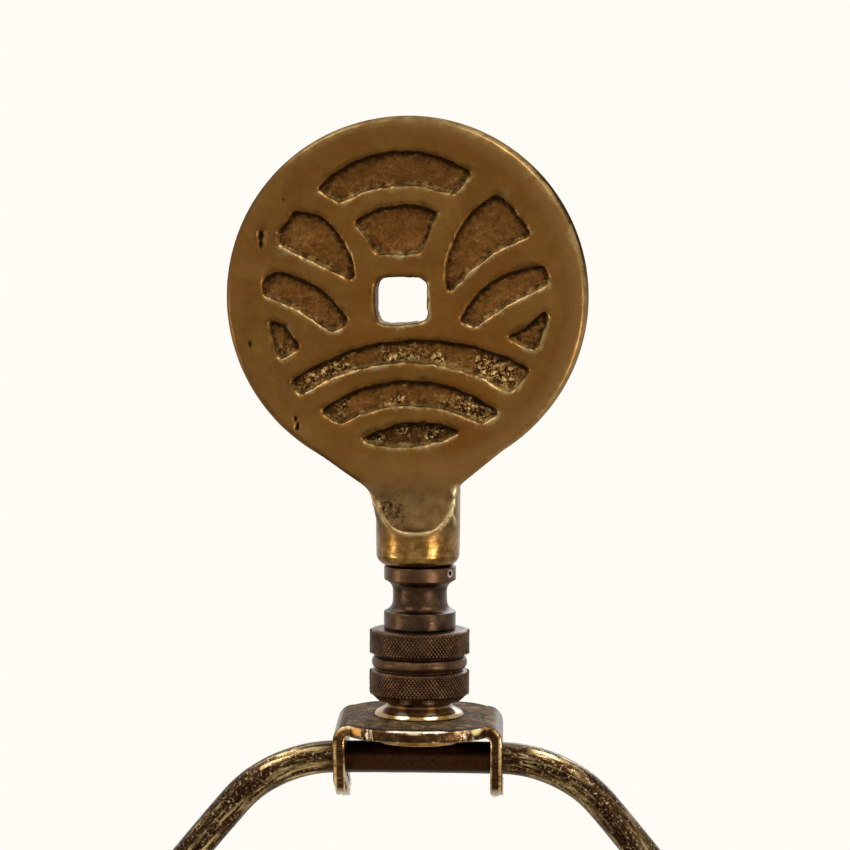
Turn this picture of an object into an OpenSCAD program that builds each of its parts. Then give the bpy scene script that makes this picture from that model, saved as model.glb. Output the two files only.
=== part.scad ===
// Vase lamp with a detachable harp and a cast disc finial.
// +Z is up, the front with the finial's disc faces -Y, and the felt's underside lies on z = 0.

/* [Foot] */
// Radius of the foot's rim
base_r = 74; // [66:1:95]
// Height of the turned foot
base_h = 42; // [38:1:60]
// Height of the foot's straight rim
rim_h = 13; // [12:0.5:16]
// Width of the foot's platform around the vase
platform_margin = 8; // [5:0.5:10]
// Depth of the vase's seat in the foot
seat_d = 2; // [1:0.5:4]
// Thickness of the felt
felt_t = 2; // [1:0.5:4]
// Radius of the well under the foot
well_r = 52; // [40:1:56]
// Depth of the well
well_d = 22; // [20:0.5:24]
// Thickness of the cast weight
ballast_t = 11; // [6:0.5:12]

/* [Cord inlet] */
// Radius of the bushing's bore
bushing_bore_r = 3.5; // [2.5:0.1:4]
// Wall of the bushing's sleeve
bushing_wall = 1; // [0.6:0.1:1.2]
// Length of the bushing's sleeve
bushing_l = 14; // [8:1:18]
// Thickness of the bushing's flange
bushing_flange_t = 1.6; // [1:0.1:3]

/* [Rod] */
// Radius of the threaded rod
rod_r = 4.86; // [4:0.02:6]
// Radius of the rod's bore
rod_bore_r = 3.2; // [2:0.1:3.5]
// Distance across the flats of the rod's nut
nut_af = 15.9; // [14:0.1:19]
// Thickness of the rod's nut
nut_t = 4.8; // [4:0.1:6]
// Thickness of the lock washer
washer_t = 1.4; // [0.8:0.1:1.6]

/* [Vase] */
// Height of the vase
vase_h = 290; // [250:1:340]
// Radius of the vase's foot
vase_foot_r = 50; // [44:1:58]
// Radius of the vase's belly
vase_belly_r = 85; // [80:1:100]
// Height of the belly above the vase's foot
vase_belly_z = 188; // [160:1:205]
// Radius of the vase's neck
vase_neck_r = 33; // [28:0.5:36]
// Radius of the vase's lip
vase_lip_r = 38; // [36.5:0.5:42]
// Wall of the vase
vase_wall = 5; // [3:0.5:7]
// Floor of the vase
vase_floor = 9; // [6:0.5:12]

/* [Vase cap and neck] */
// Sheet thickness of the spun cap
cap_t = 1.2; // [0.8:0.1:2]
// Depth of the cap's skirt over the lip
cap_skirt = 7; // [4:0.5:8]
// Rise of the cap's dome
cap_rise = 11; // [8:0.5:16]
// Height of the turned neck
neck_h = 26; // [20:1:40]
// Largest radius of the turned neck
neck_r = 13; // [11:0.5:16]
// Radius of the check ring
check_r = 15; // [12:0.5:18]
// Thickness of the check ring
check_t = 3; // [2:0.5:5]

/* [Socket] */
// Radius inside the screw shell
screw_bore_r = 13.3; // [13.2:0.05:13.5]
// Depth of the screw shell
screw_l = 24; // [22:0.5:27]
// Sheet thickness of the screw shell
screw_t = 0.6; // [0.4:0.1:0.8]
// Radius of the moulded body
body_r = 14.6; // [14.2:0.1:14.9]
// Height of the moulded body
body_h = 22; // [18:1:26]
// Radius inside the insulating liner
liner_bore_r = 15; // [14.95:0.05:15.4]
// Wall of the liner
liner_t = 0.8; // [0.5:0.1:1]
// Sheet thickness of the outer shell and cap
shell_t = 0.8; // [0.5:0.1:1]
// Height of the socket cap
socket_cap_h = 20; // [18:0.5:24]
// Radius of the switch shaft
shaft_r = 2; // [1.5:0.1:2.5]
// Width of the switch key
key_w = 15; // [10:0.5:18]
// Length of the switch key
key_l = 11; // [8:0.5:14]
// Thickness of the switch key
key_t = 5.6; // [5:0.2:7]

/* [Harp] */
// Radius of the harp wire
wire_r = 2.38; // [1.8:0.01:2.6]
// Nominal height of the harp, from the saddle's seat to the bracket's top
harp_size = 229; // [200:0.5:260]
// Distance of each leg from the middle at the saddle
saddle_x = 30; // [27:0.5:34]
// Height of the legs' ends above the saddle's seat
leg_z = 26; // [24:0.5:32]
// Sheet thickness of the saddle
saddle_t = 1.6; // [1.2:0.1:2.4]
// Width of the saddle's strap
saddle_w = 16; // [14:0.5:20]
// Length of the ferrules
ferrule_l = 15; // [12:0.5:18]
// Wall of the ferrules
ferrule_wall = 1.3; // [0.8:0.1:1.8]
// Upward travel of the ferrules
ferrule_travel = 12; // [9:0.5:14]
// Outward slant of the legs above the ferrules, in degrees
leg_flare = 30; // [24:1:36]
// Slope of the shoulders, in degrees from the vertical
shoulder_angle = 40; // [36:0.5:46]
// Centreline radius of the top bends
top_bend_r = 19.4; // [14:0.1:24]
// Centreline radius of the lower bends
low_bend_r = 26; // [20:1:34]
// Length of the straight shoulders
shoulder_l = 8; // [4:0.5:12]

/* [Bracket] */
// Radius of the bracket's plate
plate_r = 15.6; // [14:0.1:20]
// Width of the bracket over its ears
bracket_w = 24.8; // [22:0.1:28]
// Sheet thickness of the bracket
plate_t = 1.8; // [1:0.1:2]
// Outside radius of the folds
fold_r = 2.4; // [2.2:0.1:3.2]
// Height of the plate's top above the wire's centre
plate_rise = 6.35; // [6.1:0.05:7]
// Reach of the ears below the wire's centre
ear_reach = 5; // [4.4:0.1:6.5]
// Half width of the ears at their tips
ear_tip_w = 6.5; // [5:0.1:8]
// Half width of the gap between the crimped prongs
prong_gap = 1.5; // [1:0.1:2]

/* [Stud and riser] */
// Radius of the finial thread
thread_r = 3.175; // [2.8:0.005:3.5]
// Pitch of the finial thread
thread_pitch = 0.94; // [0.8:0.01:0.98]
// Turns of thread on each pin
pin_turns = 7; // [5:1:7]
// Radius of the stud's shoulder on the plate
shoulder_r = 6.6; // [6:0.1:7.2]
// Height of the stud's shoulder
shoulder_h = 1.95; // [1.8:0.05:3]
// Radius of the rivet head
rivet_r = 7; // [4.5:0.1:7.5]
// Radius of the knurled rings
ring_r = 7.4; // [7.1:0.1:8]
// Height of the lower knurled ring
ring_low_h = 5; // [4:0.1:6]
// Height of the upper knurled ring
ring_high_h = 3.8; // [3:0.1:5]
// Radius of the bead between the rings
bead_r = 7.05; // [6.6:0.05:7.1]
// Height of the bead between the rings
bead_h = 2.2; // [2:0.1:3]

/* [Collar] */
// Radius of the collar's band and flange
collar_r = 5.3; // [5:0.1:6]
// Height of the collar
collar_h = 9.4; // [9.2:0.1:11]
// Height of the collar's lower band
band_h = 2.6; // [2:0.1:3]
// Height of the collar's flange
flange_h = 2.1; // [1.6:0.1:2.6]
// Smallest radius of the collar's cove
cove_r = 4; // [3.9:0.05:4.4]

/* [Finial] */
// Radius of the disc
disc_r = 26.5; // [22:0.1:32]
// Thickness of the disc
disc_t = 6; // [5:0.1:8]
// Rounding of the disc's edges
disc_edge = 0.8; // [0.4:0.1:1.4]
// Height of the disc's centre above the boss
disc_rise = 39.6; // [36:0.1:44]
// Lean of the casting, in degrees
disc_lean = 2.6; // [0:0.1:4]
// Turn of the disc's face away from the harp's plane, in degrees
disc_turn = 4.4; // [-10:0.1:10]
// Sideways offset of the casting from its bore
casting_x = -0.3; // [-0.5:0.05:0.5]
// Radius of the boss
boss_r = 6.3; // [5.8:0.1:7]
// Height of the boss below the neck
boss_h = 2.6; // [2:0.1:4]
// Rounding of the boss's foot
boss_round = 1.6; // [0.6:0.1:1.8]
// Angle off the downward vertical at which the web leaves the disc
web_angle = 37; // [34:1:42]
// Radius of the fillets between neck and web
neck_fillet = 2.2; // [1:0.1:3]
// Height of the round neck at its front and back, under the scallops
scallop_z = 4.8; // [4:0.1:6]
// Height of the scallops
scallop_h = 5.4; // [4:0.1:6]
// Depth of the recessed ornament
recess_d = 1.1; // [0.6:0.1:1.6]
// Width of the square hole
hole_w = 7.6; // [6:0.1:9]
// Height of the square hole
hole_h = 6.8; // [6:0.1:8]
// Sideways offset of the square hole from the disc's centre
hole_x = -0.7; // [-1:0.1:1]
// Upward offset of the square hole from the disc's centre
hole_y = -0.4; // [-1:0.1:1]
// Corner radius of the square hole
hole_corner = 1.5; // [0.6:0.1:2]

/* [Fits] */
// Radial clearance of parts that turn or slide on each other
run_clear = 0.06; // [0.02:0.01:0.1]
// Radial clearance of holes that bolts and rods pass through
hole_clear = 0.4; // [0.2:0.05:0.6]
// Radial clearance of parts that slip over each other
slip_clear = 0.3; // [0.2:0.05:0.4]

/* [Hidden] */
$fn = 64;
EPS = 0.01;

// Heights of the stack, from the floor up
base_z = felt_t;
vase_z = base_z + base_h - seat_d;
cap_z = vase_z + vase_h;
neck_z = cap_z + cap_rise;
check_z = neck_z + neck_h;
seat_z = check_z + check_t;
socket_z = seat_z + saddle_t;

// The rod and what it clamps
ballast_z = base_z + well_d - ballast_t;
washer_z = ballast_z - washer_t;
nut_z = washer_z - nut_t;
rod_bottom_z = nut_z - 1;
hub_h = 8;
hub_r = rod_r + 5;
rod_top_z = socket_z + hub_h + 1;
rod_hole_r = rod_r + hole_clear;
platform_r = vase_foot_r + platform_margin;

// The cord inlet
inlet_z = base_z + rim_h / 2;
bushing_r = bushing_bore_r + bushing_wall;
bushing_flange_r = bushing_r + 1.6;
bushing_spot_d = 0.6;

// The vase's outline, from its foot up
foot_ring_h = 6;
neck_low_z = vase_h - 22;
lip_low_z = vase_h - 5;
lip_round = vase_wall / 2;

// The socket
body_z = socket_z + hub_h + 4;
screw_z = body_z + body_h;
socket_top_z = screw_z + screw_l + 2;
contact_r = 4.6;
contact_d = 1.8;
liner_z = body_z + 3;
liner_r = liner_bore_r + liner_t;
shell_bore_r = liner_r + slip_clear;
shell_r = shell_bore_r + shell_t;
shell_lap = 5;
shell_z = socket_z + socket_cap_h - shell_lap;
socket_cap_bore_r = shell_r + slip_clear;
socket_cap_r = socket_cap_bore_r + shell_t;
shaft_z = socket_z + socket_cap_h + shaft_r + slip_clear + 5;
shaft_inner = 6;
key_gap = 1.2;
key_y = shell_r + key_gap;
terminal_z = body_z + 9;
terminal_head_r = 3.2;
terminal_head_t = 1.8;
terminal_shank_r = 1.6;
terminal_shank_l = 4;
terminal_x = liner_bore_r - terminal_head_t - 1.6;
cap_screw_r = 1.5;
cap_screw_l = 4;
cap_screw_head_r = 2.4;
cap_screw_head_t = 1.6;

// The harp's levels
plate_top_z = seat_z + harp_size;
wire_z = plate_top_z - plate_rise;
leg_end_z = seat_z + leg_z;
leg_straight = ferrule_l / 2 + ferrule_travel + 1.5;
wire_top_x = bracket_w / 2;
bend_clear = 0.1;
joint_gap = 0.1;
joint_l = 0.6;
joint_step = 0.01;

// One leg of the harp: bends and straights from the saddle up to the middle of the top.
// A heading is an angle from the vertical, positive away from the middle. The length of the
// slanted straight and the radius of the side follow from where the leg starts and ends.
top_x = wire_top_x + bend_clear;
span_x = top_x - saddle_x - low_bend_r * (1 - cos(leg_flare))
    + shoulder_l * sin(shoulder_angle) + top_bend_r * cos(shoulder_angle);
span_z = wire_z - leg_end_z - leg_straight - low_bend_r * sin(leg_flare)
    - shoulder_l * cos(shoulder_angle) - top_bend_r * (1 - sin(shoulder_angle));
span_det = 1 - cos(leg_flare + shoulder_angle);
slant_l = (span_x * (sin(leg_flare) + sin(shoulder_angle))
    - span_z * (cos(shoulder_angle) - cos(leg_flare))) / span_det;
side_r = (span_z * sin(leg_flare) - span_x * cos(leg_flare)) / span_det;
leg_start = [saddle_x, leg_end_z];
low_centre = leg_start + [low_bend_r, leg_straight];
slant_start = low_centre + low_bend_r * [-cos(leg_flare), sin(leg_flare)];
slant_end = slant_start + slant_l * [sin(leg_flare), cos(leg_flare)];
side_centre = slant_end + side_r * [-cos(leg_flare), sin(leg_flare)];
shoulder_start = side_centre + side_r * [cos(shoulder_angle), sin(shoulder_angle)];
shoulder_end = shoulder_start + shoulder_l * [-sin(shoulder_angle), cos(shoulder_angle)];
top_centre = shoulder_end - top_bend_r * [cos(shoulder_angle), sin(shoulder_angle)];

// The saddle's arms and the ferrules
tip_l = ferrule_l / 2 + 1;
strap_top_z = leg_end_z - tip_l;
saddle_bend_r = 6;
strap_x = saddle_x + saddle_t / 2;
ferrule_bore_r = wire_r + run_clear;
ferrule_r = ferrule_bore_r + ferrule_wall;
ferrule_z = leg_end_z - ferrule_l / 2;
ferrule_bead = 0.5;

// The bracket
fold_x = bracket_w / 2 - fold_r;
ear_x = bracket_w / 2 - plate_t;
fold_z = plate_top_z - fold_r;
fold_half_w = sqrt(plate_r * plate_r - bracket_w * bracket_w / 4) + 0.9;
tip_round = 2;
rivet_gap = 0.3;
rivet_bottom_z = wire_z + wire_r + rivet_gap;
shank_r = 3.4;

// The riser, the collar and the finial
riser_z = plate_top_z + shoulder_h;
ring_foot_r = shoulder_r - 1.9;
ring_foot_h = 1.2;
ring_chamfer = 0.5;
riser_top_z = riser_z + ring_low_h + bead_h + ring_high_h;
collar_top_z = riser_top_z + collar_h;
pin_l = pin_turns * thread_pitch;
pin_gap = 0.6;
spigot_r = 2.9;
spigot_l = 7;
neck_step = 0.1;
web_r = disc_r - 2 * neck_step;
web_x = web_r * sin(web_angle);
web_z = disc_rise - web_r * cos(web_angle);
fillet_x = boss_r + neck_fillet;
fillet_z = web_z - (neck_fillet + (web_x - fillet_x) * sin(web_angle)) / cos(web_angle);

// Points of an arc about c, from angle a0 to a1
function arc(c, r, a0, a1, n = 10) =
    [for (i = [0:n]) let (a = a0 + (a1 - a0) * i / n) c + r * [cos(a), sin(a)]];

// Points of a cubic curve, without its last point
function curve(p, n = 12) =
    [for (i = [0:n - 1]) let (t = i / n, u = 1 - t)
        u ^ 3 * p[0] + 3 * u ^ 2 * t * p[1] + 3 * u * t ^ 2 * p[2] + t ^ 3 * p[3]];

// Points from p towards q along an arc whose middle stands b off the straight line, to the
// left of the way from p to q, without q itself
function bulge(p, q, b, n = 8) =
    abs(b) < EPS ? [p] :
    let (
        d = q - p,
        half = norm(d) / 2,
        side = [-d.y, d.x] / norm(d),
        r = (half ^ 2 + b ^ 2) / (2 * b),
        c = (p + q) / 2 + side * (b - r),
        a0 = atan2(p.y - c.y, p.x - c.x),
        turn = -sign(b) * 2 * (abs(b) > half ? 180 - asin(half / abs(r)) : asin(half / abs(r)))
    )
    [for (i = [0:n - 1]) let (a = a0 + turn * i / n) c + abs(r) * [cos(a), sin(a)]];

// A closed outline with one entry [corner, bulge towards the next corner] for each side
function outline(sides) =
    [for (i = [0:len(sides) - 1])
        each bulge(sides[i][0], sides[(i + 1) % len(sides)][0], sides[i][1])];

// A tube or disc about the z axis
module ring(z, h, r, bore = 0) {
    translate([0, 0, z])
        difference() {
            cylinder(r = r, h = h);
            if (bore > 0)
                translate([0, 0, -EPS])
                    cylinder(r = bore, h = h + 2 * EPS);
        }
}

// A turned solid from points [radius, height]
module turned(points, z) {
    translate([0, 0, z])
        rotate_extrude($fn = 96)
            polygon(points);
}

// Felt glued under the foot
module felt_pad() {
    color("darkolivegreen")
        ring(0, felt_t, base_r - 3);
}

// Turned wooden foot: straight rim, cove, bead and a platform with the vase's seat
module base() {
    rim_round = 3;
    bead = 3;
    bead_c = base_h - 11;
    cove_low = [base_r - rim_round - 1, rim_h + 1];
    cove_high = [platform_r - 2, bead_c - bead - 1];
    color("saddlebrown")
        difference() {
            turned(concat(
                [[0, 0], [base_r - 1, 0], [base_r, 1]],
                arc([base_r - rim_round, rim_h - rim_round], rim_round, 0, 90),
                [[cove_low.x, rim_h]],
                curve([cove_low, [cove_low.x - 6, cove_low.y + 1],
                    [cove_high.x, cove_high.y - 8], cove_high]),
                [cove_high],
                arc([platform_r - 2, bead_c], bead, -90, 90),
                [[platform_r - 2, bead_c + bead + 1], [platform_r, bead_c + bead + 1],
                    [platform_r, base_h - 1], [platform_r - 1, base_h], [0, base_h]]
            ), base_z);
            ring(base_z + base_h - seat_d, seat_d + EPS, vase_foot_r + slip_clear);
            ring(base_z - EPS, well_d + EPS, well_r);
            ring(base_z, base_h, rod_hole_r);
            translate([0, 0, inlet_z])
                rotate([-90, 0, 0]) {
                    cylinder(r = bushing_r + run_clear, h = base_r + 1);
                    translate([0, 0, base_r - bushing_spot_d])
                        cylinder(r = bushing_flange_r + slip_clear, h = 2);
                }
        }
}

// Cast iron weight clamped into the well
module ballast() {
    color("dimgray")
        ring(ballast_z, ballast_t, well_r - 1, rod_hole_r);
}

// Washer under the weight
module lock_washer() {
    color("silver")
        ring(washer_z, washer_t, nut_af / 2 + 3, rod_hole_r);
}

// Hexagon nut at the bottom of the rod
module rod_nut() {
    color("goldenrod")
        translate([0, 0, nut_z])
            difference() {
                cylinder(r = nut_af / 2 / cos(30), h = nut_t, $fn = 6);
                translate([0, 0, -EPS])
                    cylinder(r = rod_r + run_clear, h = nut_t + 2 * EPS);
            }
}

// Bushing in the back of the rim, where the cord goes in
module cord_bushing() {
    color("black")
        translate([0, base_r - bushing_spot_d, inlet_z])
            rotate([-90, 0, 0])
                difference() {
                    union() {
                        cylinder(r = bushing_flange_r, h = bushing_flange_t);
                        translate([0, 0, -bushing_l])
                            cylinder(r = bushing_r, h = bushing_l + EPS);
                    }
                    translate([0, 0, -bushing_l - EPS])
                        cylinder(r = bushing_bore_r, h = bushing_l + bushing_flange_t + 2 * EPS);
                }
}

// Threaded pipe through the whole stack
module threaded_rod() {
    color("darkgoldenrod")
        ring(rod_bottom_z, rod_top_z - rod_bottom_z, rod_r, rod_bore_r);
}

// Glazed vase, open at its mouth, with a drilled floor
module vase() {
    low = curve([[vase_foot_r, foot_ring_h],
        [vase_foot_r + 4, vase_belly_z * 0.4],
        [vase_belly_r, vase_belly_z * 0.62],
        [vase_belly_r, vase_belly_z]], 16);
    high = curve([[vase_belly_r, vase_belly_z],
        [vase_belly_r, vase_belly_z + (neck_low_z - vase_belly_z) * 0.66],
        [vase_neck_r + 3, neck_low_z - 14],
        [vase_neck_r, neck_low_z]], 16);
    lip = curve([[vase_neck_r, neck_low_z],
        [vase_neck_r - 1, neck_low_z + 8],
        [vase_lip_r, lip_low_z - 5],
        [vase_lip_r, lip_low_z]], 8);
    wall = concat(low, high, lip);
    inside = [for (i = [len(wall) - 1:-1:0])
        if (wall[i].y > vase_floor + 4) [wall[i].x - vase_wall, wall[i].y]];
    color("darkseagreen")
        turned(concat(
            [[rod_hole_r + 2, 3], [vase_foot_r - 6, 3], [vase_foot_r - 5, 0],
                [vase_foot_r - 1, 0], [vase_foot_r, 1]],
            wall,
            [[vase_lip_r, vase_h - lip_round]],
            arc([vase_lip_r - lip_round, vase_h - lip_round], lip_round, 0, 180),
            inside,
            [[vase_foot_r - vase_wall - 3, vase_floor], [rod_hole_r + 2, vase_floor]]
        ), vase_z);
}

// Spun cap that sits on the lip and carries the neck
module vase_cap() {
    skirt_r = vase_lip_r + hole_clear;
    out_r = skirt_r + cap_t;
    land_r = neck_r + 2;
    rest_r = vase_lip_r - lip_round;
    color("darkgoldenrod")
        turned(concat(
            [[rod_hole_r, cap_rise - cap_t], [land_r - 1, cap_rise - cap_t]],
            arc([rest_r - 4, cap_rise - cap_t], cap_rise - cap_t, 180, 270, 8),
            [[skirt_r, 0], [skirt_r, -cap_skirt], [out_r + 0.6, -cap_skirt],
                [out_r + 0.6, 1 - cap_skirt], [out_r, 2 - cap_skirt]],
            arc([out_r - 2, cap_t - 2], 2, 0, 90, 6),
            arc([rest_r - 4, cap_rise], cap_rise - cap_t, 270, 180, 8),
            [[land_r, cap_rise], [rod_hole_r, cap_rise]]
        ), cap_z);
}

// Turned neck with a foot, a waist and a head
module neck() {
    waist_r = neck_r - 4.5;
    head_r = neck_r - 2;
    color("darkgoldenrod")
        turned(concat(
            [[rod_r + run_clear, 0], [neck_r, 0]],
            arc([neck_r - 2, 2], 2, 0, 90, 6),
            [[neck_r - 2, 4.6]],
            curve([[neck_r - 2.5, 5], [waist_r, 6], [waist_r, 9], [waist_r, neck_h / 2]], 8),
            curve([[waist_r, neck_h / 2], [waist_r, neck_h - 9],
                [head_r - 1, neck_h - 7], [head_r - 0.6, neck_h - 5]], 8),
            [[head_r, neck_h - 4.6]],
            arc([head_r - 0.8, neck_h - 0.8], 0.8, 0, 90, 4),
            [[rod_r + run_clear, neck_h]]
        ), neck_z);
}

// Ring between the neck and the saddle
module check_ring() {
    color("darkgoldenrod")
        turned(concat(
            [[rod_r + run_clear, 0], [check_r - 1, 0]],
            arc([check_r - check_t / 2, check_t / 2], check_t / 2, -90, 90),
            [[rod_r + run_clear, check_t]]
        ), check_z);
}

// Half of the saddle: strap, bend and arm, seen along the y axis
module saddle_half() {
    bend_c = [strap_x - saddle_bend_r, seat_z + saddle_bend_r];
    polygon(concat(
        [[-EPS, seat_z]],
        arc(bend_c, saddle_bend_r, -90, 0),
        [[strap_x, strap_top_z], [strap_x - saddle_t, strap_top_z]],
        arc(bend_c, saddle_bend_r - saddle_t, 0, -90),
        [[-EPS, seat_z + saddle_t]]
    ));
}

// Saddle under the socket: a bent strap with two round tips
module harp_saddle() {
    arm_z = seat_z + saddle_bend_r;
    tip_w = wire_r + 0.4;
    color("darkgoldenrod") {
        difference() {
            intersection() {
                translate([0, saddle_w / 2, 0])
                    rotate([90, 0, 0])
                        linear_extrude(saddle_w)
                            union() {
                                saddle_half();
                                mirror([1, 0])
                                    saddle_half();
                            }
                rotate([90, 0, 90])
                    translate([0, 0, -strap_x - 1])
                        linear_extrude(2 * strap_x + 2)
                            polygon([[-saddle_w / 2, seat_z - 1], [saddle_w / 2, seat_z - 1],
                                [saddle_w / 2, arm_z], [tip_w, strap_top_z + 1],
                                [-tip_w, strap_top_z + 1], [-saddle_w / 2, arm_z]]);
            }
            ring(seat_z - 1, saddle_t + 2, rod_hole_r);
        }
        for (side = [-1, 1])
            translate([side * saddle_x, 0, strap_top_z - 3])
                cylinder(r = wire_r, h = tip_l + 3);
    }
}

// Spun cap at the bottom of the socket, tapped for the rod
module socket_cap() {
    flare_z = socket_cap_h - 9;
    color("goldenrod")
        difference() {
            turned([
                [rod_r + run_clear, 0], [hub_r - 0.6, 0], [hub_r, 0.6], [hub_r, hub_h],
                [socket_cap_r - 2.5, flare_z], [socket_cap_r - 0.6, flare_z + 1.6],
                [socket_cap_r, flare_z + 3.4],
                [socket_cap_r, socket_cap_h], [socket_cap_bore_r, socket_cap_h],
                [socket_cap_bore_r, flare_z + 3.6],
                [socket_cap_bore_r - 0.6, flare_z + 2.4], [socket_cap_bore_r - 2.5, flare_z + 1.2],
                [hub_r - shell_t, hub_h + 0.8], [rod_r + run_clear, hub_h + 0.8]
            ], socket_z);
            translate([0, 0, socket_z + hub_h / 2])
                rotate([-90, 0, 0])
                    cylinder(r = cap_screw_r + run_clear, h = hub_r + 1);
        }
}

// Set screw that locks the cap on the rod
module cap_screw() {
    color("goldenrod")
        translate([0, 0, socket_z + hub_h / 2])
            rotate([-90, 0, 0]) {
                translate([0, 0, hub_r - cap_screw_l])
                    cylinder(r = cap_screw_r, h = cap_screw_l + 0.5);
                translate([0, 0, hub_r + 0.4])
                    difference() {
                        cylinder(r = cap_screw_head_r, h = cap_screw_head_t);
                        translate([-cap_screw_head_r, -0.3, cap_screw_head_t - 0.7])
                            cube([2 * cap_screw_head_r, 0.6, 1]);
                    }
            }
}

// Moulded interior with flats for the terminals and a bore for the switch
module socket_body() {
    flat_d = body_r - terminal_x + 1;
    color("saddlebrown")
        difference() {
            ring(body_z, body_h, body_r);
            for (side = [0, 180])
                rotate([0, 0, side])
                    translate([terminal_x, -body_r, body_z - EPS])
                        cube([flat_d, 2 * body_r, 15]);
            for (side = [-1, 1])
                translate([side * terminal_x, 0, terminal_z])
                    rotate([0, -side * 90, 0])
                        cylinder(r = terminal_shank_r + run_clear, h = terminal_shank_l + 0.4);
            translate([0, 0, shaft_z])
                rotate([90, 0, 0])
                    translate([0, 0, shaft_inner - 0.5])
                        cylinder(r = shaft_r + run_clear, h = body_r);
            ring(body_z - EPS, 4, rod_bore_r + 1);
            ring(screw_z - contact_d, contact_d + EPS, contact_r + 0.4);
        }
}

// The two terminal screws
module terminal_screws() {
    color("goldenrod")
        for (side = [-1, 1])
            translate([side * terminal_x, 0, terminal_z])
                rotate([0, side * 90, 0]) {
                    translate([0, 0, -terminal_shank_l])
                        cylinder(r = terminal_shank_r, h = terminal_shank_l + EPS);
                    difference() {
                        cylinder(r = terminal_head_r, h = terminal_head_t);
                        translate([-terminal_head_r, -0.4, terminal_head_t - 0.8])
                            cube([2 * terminal_head_r, 0.8, 1]);
                    }
                }
}

// Contact shell that the bulb screws into
module screw_shell() {
    color("gold")
        difference() {
            ring(screw_z, screw_l, screw_bore_r + screw_t, screw_bore_r / 2);
            ring(screw_z + screw_t, screw_l, screw_bore_r);
        }
}

// Spring contact under the bulb's tip, in a well of the body
module centre_contact() {
    color("gold")
        turned([
            [0, 0], [contact_r, 0], [contact_r, 0.5], [contact_r - 1.2, 0.7],
            [contact_r - 2.2, contact_d], [0, contact_d + 0.4]
        ], screw_z - contact_d);
}

// Insulating sleeve, drilled for the switch shaft
module socket_liner() {
    color("tan")
        difference() {
            ring(liner_z, socket_top_z - 1.4 - liner_z, liner_r, liner_bore_r);
            shaft_hole();
        }
}

// Outer shell with a turned-in top edge
module socket_shell() {
    color("goldenrod")
        difference() {
            union() {
                ring(shell_z, socket_top_z - shell_z, shell_r, shell_bore_r);
                turned(concat(
                    [[liner_bore_r + 0.2, socket_top_z - 1], [shell_r - EPS, socket_top_z - 1]],
                    [[shell_r - EPS, socket_top_z], [liner_bore_r + 0.2, socket_top_z]]
                ), 0);
            }
            shaft_hole();
        }
}

// Way out for the switch shaft through the sleeve and the shell
module shaft_hole() {
    translate([0, 0, shaft_z])
        rotate([90, 0, 0])
            cylinder(r = shaft_r + slip_clear, h = shell_r + 1);
}

// Shaft of the turn switch
module switch_shaft() {
    color("goldenrod")
        translate([0, 0, shaft_z])
            rotate([90, 0, 0])
                translate([0, 0, shaft_inner])
                    cylinder(r = shaft_r, h = key_y + key_l - 2 - shaft_inner);
}

// Flat key with round ends, pushed onto the shaft
module switch_knob() {
    color("black")
        translate([0, 0, shaft_z])
            rotate([90, 0, 0])
                translate([0, 0, key_y])
                    difference() {
                        union() {
                            cylinder(r = key_t / 2 + 0.6, h = key_l);
                            translate([-(key_w - key_t) / 2, -key_t / 2, 3])
                                cube([key_w - key_t, key_t, key_l - 3]);
                            for (side = [-1, 1])
                                translate([side * (key_w - key_t) / 2, 0, 3])
                                    cylinder(r = key_t / 2, h = key_l - 3);
                        }
                        translate([0, 0, -EPS])
                            cylinder(r = shaft_r + run_clear, h = key_l - 2 + EPS);
                    }
}

// A straight of the harp from p along a heading, with a thin sleeve over each end named in
// joints, which joins it to the bend there
module wire_straight(p, heading, l, joints = [0, 1]) {
    translate([p.x, 0, p.y])
        rotate([0, heading, 0]) {
            translate([0, 0, joint_gap])
                cylinder(r = wire_r, h = l - 2 * joint_gap);
            for (end = joints)
                translate([0, 0, end * l - joint_l / 2])
                    cylinder(r = wire_r + joint_step, h = joint_l);
        }
}

// A bend of the harp about c, through the given angles in the harp's plane
module wire_bend(c, r, from, to) {
    translate([c.x, 0, c.y])
        rotate([90, 0, 0])
            rotate([0, 0, from])
                rotate_extrude(angle = to - from, $fn = 96)
                    translate([r, 0])
                        circle(r = wire_r, $fn = 48);
}

// Right half of the harp, from the end of the leg to the straight at the top
module harp_half() {
    wire_straight(leg_start, 0, leg_straight, [1]);
    wire_bend(low_centre, low_bend_r, 180 - leg_flare, 180);
    wire_straight(slant_start, leg_flare, slant_l);
    wire_bend(side_centre, side_r, -leg_flare, shoulder_angle);
    wire_straight(shoulder_start, -shoulder_angle, shoulder_l);
    wire_bend(top_centre, top_bend_r, shoulder_angle, 90);
}

// Bent wire loop
module harp_wire() {
    color("darkkhaki")
        union() {
            harp_half();
            mirror([1, 0, 0])
                harp_half();
            wire_straight([top_x, wire_z], -90, 2 * top_x);
        }
}

// Locking sleeve with a rolled bead at each end
module ferrule() {
    color("darkgoldenrod")
        turned([
            [ferrule_bore_r, 0], [ferrule_r, 0], [ferrule_r + ferrule_bead, 0.6],
            [ferrule_r + ferrule_bead, 1.4], [ferrule_r, 2], [ferrule_r, ferrule_l - 2],
            [ferrule_r + ferrule_bead, ferrule_l - 1.4], [ferrule_r + ferrule_bead, ferrule_l - 0.6],
            [ferrule_r, ferrule_l], [ferrule_bore_r, ferrule_l]
        ], ferrule_z);
}

module ferrule_left() {
    translate([-saddle_x, 0, 0])
        ferrule();
}

module ferrule_right() {
    translate([saddle_x, 0, 0])
        ferrule();
}

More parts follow.
